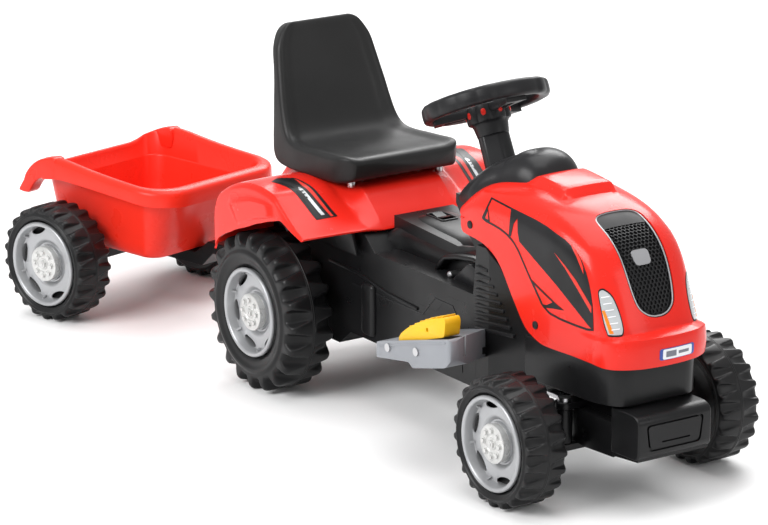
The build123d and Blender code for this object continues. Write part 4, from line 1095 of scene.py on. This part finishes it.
# ---------------------------------------------------------------- rear body with wings
# Lines in X and Z from the rear round to the front:
# over the wings, over the middle box and along the wings' lower edge.
WING_CREST = [(-90, 209), (-91, 235), (-91, 260), (-87, 276), (-77, 290), (-53, 304), (-28, 314), (-3, 320)]
WING_CREST += [(22, 322), (45, 321), (70, 316), (92, 303), (112, 290), (133, 279), (152, 270)]
BOX_CREST = [(-97, 226), (-95.5, 244), (-94.5, 262), (-93.5, 280), (-92.5, 295), (-91, 308), (-84, 316)]
BOX_CREST += [(-70, 318), (0, 318), (60, 318), (100, 317), (114, 311), (132, 296), (150, 281), (165, 266)]
WING_SKIRT = [(-90, 208), (-80, 216), (-64, 226), (-45, 234), (-28, 242), (0, 252), (24, 262), (42, 268)]
WING_SKIRT += [(59, 274), (77, 279), (92, 283), (104, 280), (116, 275), (132, 270), (149, 265)]
WING_HALF, WING_STEPS = 200, 88
PANEL_LIFT = 4.5  # raised panel on the wing's outer face
wing_line = resampled(smooth(WING_CREST, 6), WING_STEPS)
box_line = resampled(smooth(BOX_CREST, 6), WING_STEPS)
skirt_line = resampled(smooth(WING_SKIRT, 6), WING_STEPS)
WING_Y = [0, 20, 40, 58, 64, 66.5, 67.6, 68.6, 70, 74, 80, 87, 93]
WING_Y += [95.5, 98.5, 102, 112, 128, 145, 162, 176, 186]


def wing_share(y):
    """0 on the middle box, 1 out on the wing, with a crease at each side of the slope between them."""
    return max(0.0, min(1.0, (y - 68) / 29))


rows = []
for k in range(WING_STEPS):
    (wx, wz), (bx, bz), (sx, sz) = wing_line[k], box_line[k], skirt_line[k]
    forward = ease((k / (WING_STEPS - 1) - 0.7) / 0.3)
    half_row = []
    for y in WING_Y:
        t = wing_share(y)
        out = max(0.0, (y - 100) / 100)
        x = bx + (wx - bx) * t + (1 - out) * t * forward * 11
        z = bz + (wz - bz) * t - 1.5 * t * out**2
        half_row.append((x, y, z))
    soft = 9 - 7 * forward
    for turn in (22, 45, 68, 90):
        a = math.radians(turn)
        half_row.append((wx, WING_HALF - soft + soft * math.sin(a), wz - 1.5 - soft * (1 - math.cos(a))))
    top_x, top_z = wx, wz - 1.5 - soft
    run = k / (WING_STEPS - 1)
    for step in range(1, 19):
        share = step / 18
        x, z = top_x + (sx - top_x) * share, min(top_z, top_z + (sz - top_z) * share)
        panel = ease((share - 0.2) / 0.12) * (1 - ease((share - 0.8) / 0.1))
        panel *= ease((run - 0.3) / 0.06) * (1 - ease((run - 0.66) / 0.06))
        half_row.append((x, WING_HALF + 1.5 * share + PANEL_LIFT * panel, z))
    rows.append([tractor(x, -y, z) for x, y, z in reversed(half_row)] + [tractor(*p) for p in half_row[1:]])
wing_skin = add("fender", *grid(rows))
if max(wing_skin.data.polygons, key=lambda f: f.center.z).normal.z < 0:
    wing_skin.data.flip_normals()
wing_surface = surface_of(wing_skin)
fender = modified(wing_skin, ("SOLIDIFY", {"thickness": 3 * MM, "offset": -1}), bevel(1, 2, 50))
piece(fender, "fender_shape", "red_shell", "tractor", "red_shell", "fender_shell", sharp=24)

def wing_decal(name, outline, lift, material, side):
    """Thin decal on the top of one wing, its outline in x and y of the right wing."""

    def place(a, b):
        return tractor(a, -side * b, 400)

    made = laid(name, outline, place, (0, 0, -1), wing_surface, lift, 0.35, 6)
    piece(made, name, material, "tractor", "red_shell")


RIGHT_STRIP = [(23, -171), (13, -158), (12, -149), (26, -133), (55, -130), (90, -126), (126, -123)]
RIGHT_STRIP += [(124, -158), (93, -160), (53, -164)]
SLASHES = (
    ("red", [(30, -136), (124, -129), (124, -133), (60, -141)], "red_decal"),
    ("pale", [(58, -147), (118, -140), (118, -146), (66, -152)], "silver_line"),
    ("dark", [(17, -157), (60, -146), (122, -151), (122, -156), (54, -157), (25, -167)], "decal_shade"),
)
for name, side in SIDES.items():
    wing_decal(f"wing_strip_{name}", RIGHT_STRIP, 0.5, "decal_black", side)
    for color, outline, material in SLASHES:
        wing_decal(f"wing_slash_{color}_{name}", outline, 0.8, material, side)

# Black sheet in each wheel arch, from the chassis deck up to the wing: painted shade for the shadow under the
# wing.
ARCH = [(-80, 232), (-84, 258), (-74, 280), (-50, 296), (-2, 312), (45, 313), (68, 308), (108, 284)]
ARCH += [(148, 262), (160, 232)]
for name, side in SIDES.items():
    # Painted shade: this dark sheet stands for the shadow inside the wheel arch.
    arch_shade_sheet = modified(prism("arch_shade_sheet", ARCH, side_plane(side), 108, 113), bevel(1))
    piece(arch_shade_sheet, f"arch_painted_shade_{name}", "body_black", "tractor", "black_body")

# ---------------------------------------------------------------- trailer
BRIM_Z = [(-104, 212), (-82, 229), (-64, 239.5), (-47, 244), (-28, 245), (-8, 244), (18, 241), (50, 237.5)]
BRIM_Z += [(80, 235), (110, 233), (170, 230), (215, 229)]
SKIRT_Z = [(-104, 206), (-57, 208), (-22, 213), (25, 212), (106, 208.5), (149, 206), (215, 202)]


def plan_loop(x0, x1, half, corner):
    """Rounded rectangle in plan with points along its sides, the same number for every size."""
    ring = []
    tight = min(corner, 28)
    corners = [(x1 - corner, corner - half, -90, corner), (x1 - corner, half - corner, 0, corner)]
    corners += [(x0 + tight, half - tight, 90, tight), (x0 + tight, tight - half, 180, tight)]
    for i, (cx, cy, start, corner) in enumerate(corners):
        for k in range(11):
            a = math.radians(start + 9 * k)
            ring.append((cx + corner * math.cos(a), cy + corner * math.sin(a)))
        nx, ny, turn, following = corners[(i + 1) % 4]
        a = math.radians(turn)
        end = (nx + following * math.cos(a), ny + following * math.sin(a))
        start_point = ring[-1]
        count = 24 if i % 2 else 14
        for k in range(1, count):
            t = k / count
            ring.append(tuple(p + (q - p) * t for p, q in zip(start_point, end)))
    return ring


def brim_z(x, y):
    """Height of the brim, which is lower across the back, between the two tails."""
    side = along_table(smooth_brim, x)
    rear = ease((-x - 48) / 16) * (1 - ease((abs(y) - 76) / 30))
    return side + (224 - side) * rear


smooth_brim = smooth(BRIM_Z, 6)
smooth_skirt = smooth(SKIRT_Z, 6)
# Loops from the floor's middle up the inside, over the rolled brim and down the outside:
# rear x, front x, half width, corner, what its height is measured from, that height.
TUB_LOOPS = [
    (-10, 105, 52, 20, "floor", 108.5),
    (-48, 143, 92, 20, "floor", 108.5),
    (-54, 149, 99, 24, "floor", 110),
    (-57, 152.5, 102, 26, "floor", 114),
    (-63, 164, 109, 30, "floor", 158),
    (-69, 176, 116, 33, "floor", 197),
    (-69.3, 176.8, 116.3, 33, "floor", 198.5),
    (-70.2, 177.6, 117.4, 33, "floor", 199.5),
    (-74, 184, 122, 44, "brim", -6),
    (-75, 187, 124, 47, "brim", -2),
    (-77, 191, 126.5, 50, "brim", -0.2),
    (-79, 196, 130, 53, "brim", 0),
    (-81, 203, 135, 57, "brim", -1),
    (-82.5, 208, 138.5, 60, "brim", -3.5),
    (-83, 210.5, 140, 62, "brim", -8),
    (-83, 211, 140, 62, "skirt", 6),
    (-83, 211, 140, 62, "skirt", 0),
    (-82, 209, 138, 61, "skirt", -0.6),
    (-80, 206, 136, 59, "skirt", 1),
    (-79.5, 202, 134, 56, "brim", -12),
    (-79, 193, 128, 50, "brim", -10),
    (-77, 189, 125, 44, "brim", -14),
    (-66, 168, 112, 30, "floor", 132),
    (-61, 158, 106.5, 28, "floor", 116),
    (-56, 152, 102, 26, "floor", 108.5),
    (-50, 146, 96, 24, "floor", 105.5),
    (-10, 105, 52, 20, "floor", 105),
]
loops = []
for x0, x1, half, corner, base, height in TUB_LOOPS:
    loop = []
    for x, y in plan_loop(x0, x1, half, corner):
        if base == "floor":
            z = height
        elif base == "brim":
            z = brim_z(x, y) + height
        else:
            z = min(along_table(smooth_skirt, x), brim_z(x, y) - 11) + height
        if x > 150 and abs(y) < 100:  # shallow upright recess in the front wall
            recess = ease((62 - abs(y)) / 10) * ease((x - 150) / 6)
            if base == "floor" and 110 < height < 140 or (base == "brim" and height == -14):
                x -= 3 * recess
        loop.append(trailer(x, y, z))
    loops.append(loop)
tub = loft("tub", loops)
TAIL = [(-30, 244), (-48, 243.5), (-64, 239), (-80, 230), (-93, 218), (-101, 207), (-104, 199), (-115, 183)]
TAIL += [(-113, 179), (-94, 179), (-86, 188), (-79, 197), (-68, 206), (-50, 212), (-30, 213)]
# Red bracket under the tub, which holds the axle.
BRACKET = rounded([(-34, 106), (-24, 82), (24, 82), (36, 106)], 8, 4)
tails, brackets = [], []
for side in SIDES.values():
    place = side_plane(side, trailer)
    tails.append(modified(prism("tail", smooth(TAIL, 2, closed=True), place, 117, 140.2), bevel(4, 3, 40)))
    brackets.append(modified(prism("bracket", BRACKET, place, 84, 95.5), bevel(2, 2)))
piece(joined(tub, *tails), "trailer_tub_shape", "red_tub", "trailer", "red_tub", "trailer_tub", sharp=40)
piece(joined(*brackets), "trailer_bracket_shape", "red_trim", "trailer", "red_trim")

# ---------------------------------------------------------------- steering wheel and column
RING = [(93.5, -8), (93.6, 5), (92, 9.5), (88, 12), (83, 12.2), (77, 10.5), (73.5, 6), (72.5, 0)]
RING += [(73.5, -6), (77, -10.5), (84, -12.5), (90, -11.8)]
RING_STEPS = 216
rows = []
for step in range(RING_STEPS):
    angle = math.tau * step / RING_STEPS
    from_front = abs((math.degrees(angle) + 180) % 360 - 180)
    grip = ease((from_front - 22) / 6) * (1 - ease((from_front - 104) / 6))
    rows.append([])
    for r, h in smooth(RING, 2, closed=True):
        outside = max(0.0, min(1.0, (r - 80) / 10))
        bump = grip * outside * (0.9 + 1.5 * abs(math.sin(math.radians(from_front) * 18 / 2)))
        r = r - 2.2 * outside + bump
        rows[-1].append(column(r * math.cos(angle), r * math.sin(angle), h))
ring = add("ring", *grid(rows, around=True, along=True))
parts = [ring]
for k in range(3):
    turn = Matrix.Rotation(math.tau * k / 3, 3, "Z")

    def spoke_place(a, b, h, turn=turn):
        return column(*(turn @ Vector((a, b, h))))

    corners = [(18, -15), (50, -11), (78, -17), (78, 17), (50, 11), (18, 15)]
    outline = rounded(corners, [2, 12, 2, 2, 12, 2], 3)
    spoke = prism("spoke", outline, spoke_place, -18, -7)
    slot = prism("slot", rounded([(33, -5), (64, -6.5), (64, 6.5), (33, 5)], 4, 3), spoke_place, -30, 10)
    parts.append(modified(cut(spoke, slot), bevel(2, 2)))
LOBES = 8
# Hub cup from its foot up and down into its hollow top: height, radius, depth of the lobes.
CUP = [(-50, 21.5, 0), (-49, 23, 0), (-34, 25.5, 0.3), (-31, 27, 0.8), (-29.5, 30, 2), (-27, 31, 3)]
CUP += [(-8, 31.5, 3), (-6, 31, 3), (-5, 29, 2.5), (-5, 26, 1), (-14, 25.5, 0), (-16, 25, 0)]
loops = []
for height, radius, wave in CUP:
    loop = []
    for step in range(96):
        angle = math.tau * step / 96
        r = radius + wave * (abs(math.cos(LOBES * angle / 2)) ** 0.7 - 0.6)
        loop.append(column(r * math.cos(angle), r * math.sin(angle), height))
    loops.append(loop)
cup = loft("cup", loops)
bore = revolve("bore", [(0, -60), (6.1, -60), (6.1, 0), (0, 0)], column, 24)
parts.append(cut(cup, bore))
wheel = joined(*parts)
piece(wheel, "steering_wheel_shape", "grip_black", "steering", "black_grip", "steering_wheel", sharp=38)
for k in range(LOBES):
    turn = Matrix.Rotation(math.tau * k / LOBES, 3, "Z")

    def lobe_place(a, b, h, turn=turn):
        return column(*(turn @ Vector((30 + h, a, b - 17))))

    jewel = modified(prism("jewel", superellipse(20, 3.6, 5, 2.4), lobe_place, 0, 3.2), bevel(0.8))
    piece(jewel, f"hub_jewel_{k}", "red_trim", "steering", "black_grip")
COLUMN_LOOPS = [(-37, 18.5, 21.5), (-37.5, 19, 22), (-80, 19.5, 22.5), (-121, 20, 23), (-124, 20, 23)]
loops = []
for height, half_a, half_b in COLUMN_LOOPS:
    loop = []
    for a, b in superellipse(64, half_a, half_b, 2.5):
        flat_side = max(0.0, a * 0.75 - b * 0.66 - 17.5)  # facet on its right front
        loop.append(column(a - flat_side * 0.75, b + flat_side * 0.66, height))
    loops.append(loop)
tube = loft("column", loops)
cut(tube, revolve("bore", [(0, -130), (6.6, -130), (6.6, -30), (0, -30)], column, 24))
piece(tube, "column_shape", "cover_black", "tractor", "black_cover", "column_tube", sharp=40)

# Dash cover: a hump behind the hood. Stations of X, top, base and half width.
DASH = [(334, 362, 357, 50), (346, 378, 357, 62), (362, 394, 358, 71), (380, 408, 360, 77)]
DASH += [(395, 417, 370, 79), (408, 425, 380, 76), (422, 431, 388, 69), (438, 436, 391, 62)]
DASH += [(454, 438.5, 393, 57), (470, 437.5, 394, 53), (483, 433, 394, 48), (493, 426, 394, 42)]
DASH += [(501, 415, 394, 35), (506, 401, 394, 28)]
loops = []
for x, top, base, half in smooth(DASH, 4):
    arch = []
    for k in range(-16, 17):
        turn = math.radians(k * 90 / 16)
        share = abs(math.sin(turn)) ** (2 / 2.4)
        arch.append((math.copysign(half * share, k), base + (top - base) * math.cos(turn) ** (2 / 2.2)))
    crease = 5 * ease((x - 432) / 12) * (1 - ease((x - 500) / 12))
    ring = [tractor(x, y, z + crease * ease((z - base) / 40) - 2.5) for y, z in arch]
    ring += [tractor(x, y, base - 4) for y in (half * 0.5, 0, -half * 0.5)]
    loops.append(ring)
dash = loft("dash", loops)
cut(dash, revolve("clear", [(0, -150), (7.5, -150), (7.5, -40), (0, -40)], column, 24))
piece(dash, "dash_cover_shape", "cover_black", "tractor", "black_cover", "dash_cover", sharp=50)
# ---------------------------------------------------------------- chassis, controls and footboards
# Moulded parts kept from the CAD, with rounded edges of these widths.
SOFT_EDGES = {
    "chassis_lower": 2.5,
    "chassis_upper": 4,
    "axle_carrier": 4.5,
    "direction_rocker": 1,
    "hitch_bracket": 1.2,
    "trailer_drawbar": 2,
    "knuckle_right": 0.8,
    "knuckle_left": 0.8,
    "tie_rod": 0.8,
    "battery": 1,
    "gearbox_housing": 1.5,
    "charge_socket": 0.5,
}
for name, width in SOFT_EDGES.items():
    thing = frame["nodes"][name]
    for kind, settings in (
        ("WELD", {"merge_threshold": 2e-5}),
        bevel(width, 3, 25),
    ):
        modifier = thing.modifiers.new(kind.lower(), kind)
        for key, value in settings.items():
            setattr(modifier, key, value)


# Front body under the hood, rounded in plan, and the bumper block with its recessed face.
FRONT = [(548, -92), (690, -82), (732, -64), (732, 64), (690, 82), (548, 92)]
front = rounded(FRONT, [2, 30, 22, 22, 30, 2], 6)
under = prism("front", front, tractor, 149, 210)
piece(modified(under, bevel(3, 3)), "front_body", "body_black", "tractor", "black_body", sharp=50)
BUMPER = rounded([(706, 80), (768, 82), (768, 138), (757, 145), (706, 145)], [3, 12, 14, 10, 4], 4)
block = modified(prism("bumper", BUMPER, right_plane, -62, 62), bevel(7, 4, 40))


def front_plane(a, b, h):
    return tractor(766 + h, a, b)


recess = rounded([(-44, 93), (44, 93), (49, 132), (-49, 132)], 7, 4)
ridge = rounded([(-41, 96), (41, 96), (46, 129), (-46, 129)], 6, 4)
groove = prism("groove", recess, front_plane, -1.2, 6)
cut(groove, prism("ridge", ridge, front_plane, -4, 12))
slit = prism("slit", rounded([(-22, 103), (26, 103), (26, 105.4), (-22, 105.4)], 1, 2), front_plane, -1.2, 6)
piece(cut(block, groove, slit), "bumper_shape", "body_black", "tractor", "black_body", sharp=50)
beam = rounded([(612, 117), (618, 76), (648, 69.5), (712, 73), (712, 122), (650, 120)], [4, 6, 8, 2, 2, 4], 3)
cheek = modified(prism("cheek", beam, right_plane, 57, 61), bevel(1.5, 2))
both_sides(cheek, "beam_cheek", "body_black", "tractor", "black_body")

# Saddle over the tunnel, rounded, with a slope at the seat base; at each side a dark block is painted shade
# for the shadowed gap beside the tunnel.
SADDLE = [(150, 262, 70), (166, 270, 68), (180, 281, 62), (200, 287, 57), (260, 286, 56), (310, 284, 56)]
SADDLE += [(345, 290, 58), (375, 300, 62), (410, 309, 70), (440, 312, 80)]
rows = []
for x, top, half in smooth(SADDLE, 5):
    outer, inner = [], []
    for k in range(-14, 15):
        turn = math.radians(k * 90 / 14)
        share = math.copysign(abs(math.sin(turn)) ** (2 / 3.2), k)
        lift = math.cos(turn) ** (2 / 3.2)
        outer.append(tractor(x, half * share, 233 + (top - 233) * lift))
        inner.append(tractor(x, (half - 2.5) * share, 233 + (top - 235.5) * lift))
    rows.append(outer + inner[::-1])
saddle = loft("saddle", rows)
hole = modified(prism("hole", rounded([(194, -13), (236, -13), (236, 13), (194, 13)], 3), tractor, 262, 320))
rod_bore = revolve("bore", [(0, -280), (7.5, -280), (7.5, -165), (0, -165)], column, 24)
piece(cut(saddle, hole, rod_bore), "saddle_shape", "body_black", "tractor", "black_body", sharp=40)
collar = prism("collar", rounded([(192, -15), (238, -15), (238, 15), (192, 15)], 5), tractor, 284, 288.5)
collar_hole = rounded([(195, -12.5), (235, -12.5), (235, 12.5), (195, 12.5)], 3)
collar_hole = prism("hole", collar_hole, tractor, 260, 330)
piece(modified(cut(collar, collar_hole), bevel(0.8)), "rocker_collar", "cover_black", "tractor", "black_body")
# Painted shade: a solid dark block where the gap between the saddle and the front tower lies in shadow.
PAINTED_SHADE_OUTLINE = rounded([(352, 238), (404, 238), (410, 268), (392, 272)], 5, 3)
painted_shade_block = modified(prism("painted_shade_block", PAINTED_SHADE_OUTLINE, right_plane, 60, 78), bevel(2))
both_sides(painted_shade_block, "saddle_painted_shade", "mesh_black", "tractor", "black_body")
LIP_LINE = ribbon([(300, 240), (322, 262), (352, 270), (392, 276), (416, 272)], 3.5)
lip = modified(prism("lip", LIP_LINE, right_plane, 50, 72), bevel(2.5, 3))
both_sides(lip, "saddle_lip", "body_black", "tractor", "black_body")


def turned(name, profile, x, z, segments=20):
    """Solid turned round an axis that runs straight out of the right side at X and Z."""
    return revolve(name, profile, lambda a, b, h: right_plane(x + a, z + b, h), segments)


bolt = turned("bolt", [(0, 60), (5, 60), (5, 78), (3.5, 80), (0, 80.5)], 346, 244)
both_sides(bolt, "saddle_bolt", "zinc_steel", "tractor", "steel")

# Mouldings on the chassis sides: the seam round the battery bay, an upright bulge, ribs behind the front leg.
SIDE = 98  # half the chassis's width behind the front legs
SEAM_POINTS = [(127, 180), (308, 179), (338, 210.5), (383, 210), (398, 192), (404, 176), (407, 118)]
SEAM_LINE = ribbon(SEAM_POINTS, 1.1)
seam = prism("seam", SEAM_LINE, right_plane, SIDE - 1, SIDE + 0.7)
both_sides(seam, "side_seam", "mesh_black", "tractor", "black_body")
BULGE = rounded([(157, 112), (189, 112), (189, 192), (157, 192)], 10, 4)
bulge = modified(prism("bulge", BULGE, right_plane, SIDE - 8, SIDE + 7), bevel(6, 4))
both_sides(bulge, "side_bulge", "body_black", "tractor", "black_body")
STEP_LINE = ribbon([(67, 202), (145, 200), (217, 188), (297, 184)], 2.5)
step = modified(prism("step", STEP_LINE, right_plane, SIDE - 4, SIDE + 3), bevel(1.6, 2))
both_sides(step, "side_step", "body_black", "tractor", "black_body")
SLANT = Vector((80, 9, 0)).normalized()


def slant_plane(a, b, h):
    """Point on the slanting side behind the front leg: a forwards, b up, h outwards."""
    return tractor(437 + SLANT.x * a + SLANT.y * h, -SIDE + SLANT.y * a - SLANT.x * h, b)


parts = []
for k in range(9):
    z, reach = 284 - 11 * k, 28.6 + 6.8 * k
    front = z + 0.1 * reach
    slat = rounded([(4, z + 1.4), (reach, front - 1.5), (reach + 1.3, front - 6.5), (5, z - 4)], 1.5, 2)
    parts.append(modified(prism("slat", slat, slant_plane, -3, 4.5), bevel(1, 2)))
both_sides(joined(*parts), "engine_slats", "cover_black", "tractor", "black_body")
RING_BOLT = [(0, 85), (6, 85), (6, 99), (8, 99), (8, 85), (10, 85), (10, 101), (0, 101)]
ring_bolt = turned("bolt", RING_BOLT, 433, 167, 28)
both_sides(ring_bolt, "side_bolt", "zinc_steel", "tractor", "steel")

# Footboards: silver trays whose front runs back to the chassis; the right one has a well for the pedal.
BOARD_SIDE = [(330, 138), (330, 161), (419, 186), (507, 210), (512, 201), (509, 177), (501, 167)]
BOARD_SIDE += [(419, 145), (411, 152)]
BOARD_PLAN = rounded([(326, -192), (510, -192), (508, -170), (463, -97), (326, -97)], [3, 8, 30, 4, 3], 5)
for side_name in ("right", "left"):
    board = prism("board", rounded(BOARD_SIDE, [3, 4, 3, 4, 4, 5, 6, 6, 4], 3), right_plane, SIDE - 1, 192)
    plan = prism("plan", BOARD_PLAN, tractor, 100, 260)
    cut(board, plan, operation="INTERSECT")
    if side_name == "right":
        well = [(373, 158), (503, 178), (503, 260), (373, 260)]
        cut(board, prism("well", well, right_plane, 158, 188.5))
    else:
        blank = board
        board = mirrored(blank, "board_left")
        bpy.data.objects.remove(blank)
    board = modified(board, bevel(1.6, 3, 35))
    name = f"footboard_{side_name}"
    piece(board, f"{name}_shape", "silver_board", "tractor", "silver_board", name, sharp=45)
RIM_LINE = ribbon([(336, 156), (419, 180), (500, 203)], 1.0)
rim = prism("rim", RIM_LINE, right_plane, 191, 192.9)
both_sides(rim, "footboard_rim", "silver_board", "tractor", "silver_board")

PEDAL = [(379, 164), (377, 178), (383, 186), (399, 198), (425, 212), (452, 224), (480, 233), (487, 235)]
PEDAL += [(491, 229), (488, 207), (386, 173)]
pedal = prism("pedal", rounded(PEDAL, 4, 3), right_plane, 160, 186)
hinge = turned("hinge", [(0, 150), (3, 150), (3, 200), (0, 200)], 384, 166)
eye = turned("eye", [(0, 180), (3.2, 180), (3.2, 200), (0, 200)], 447, 207)
cut(pedal, hinge, eye)
ribs = []
for k in range(7):
    x = 402 + 13 * k
    z = along_table([(399, 198), (425, 212), (452, 224), (480, 234)], x)
    rib = [(x - 1.6, z - 2), (x - 1.6, z + 1.4), (x + 1.6, z + 2), (x + 1.6, z - 1)]
    ribs.append(modified(prism("rib", rib, right_plane, 162, 184), bevel(0.5)))
pedal = joined(modified(pedal, bevel(1.5, 3, 35)), *ribs)
piece(pedal, "pedal_shape", "yellow_pedal", "drive_pedal", "yellow_pedal", "pedal", sharp=45)

# ---------------------------------------------------------------- floor
floor_mesh = bpy.data.meshes.new("floor")
floor_mesh.from_pydata([(-30, -30, 0), (30, -30, 0), (30, 30, 0), (-30, 30, 0)], [], [(0, 1, 2, 3)])
floor = bpy.data.objects.new("floor", floor_mesh)
bpy.context.scene.collection.objects.link(floor)
floor_material = bpy.data.materials.new("floor")
floor_material.use_nodes = True
floor_shader = floor_material.node_tree.nodes["Principled BSDF"]
floor_shader.inputs["Base Color"].default_value = (0.9, 0.9, 0.9, 1)
floor_shader.inputs["Roughness"].default_value = 0.75
floor_mesh.materials.append(floor_material)
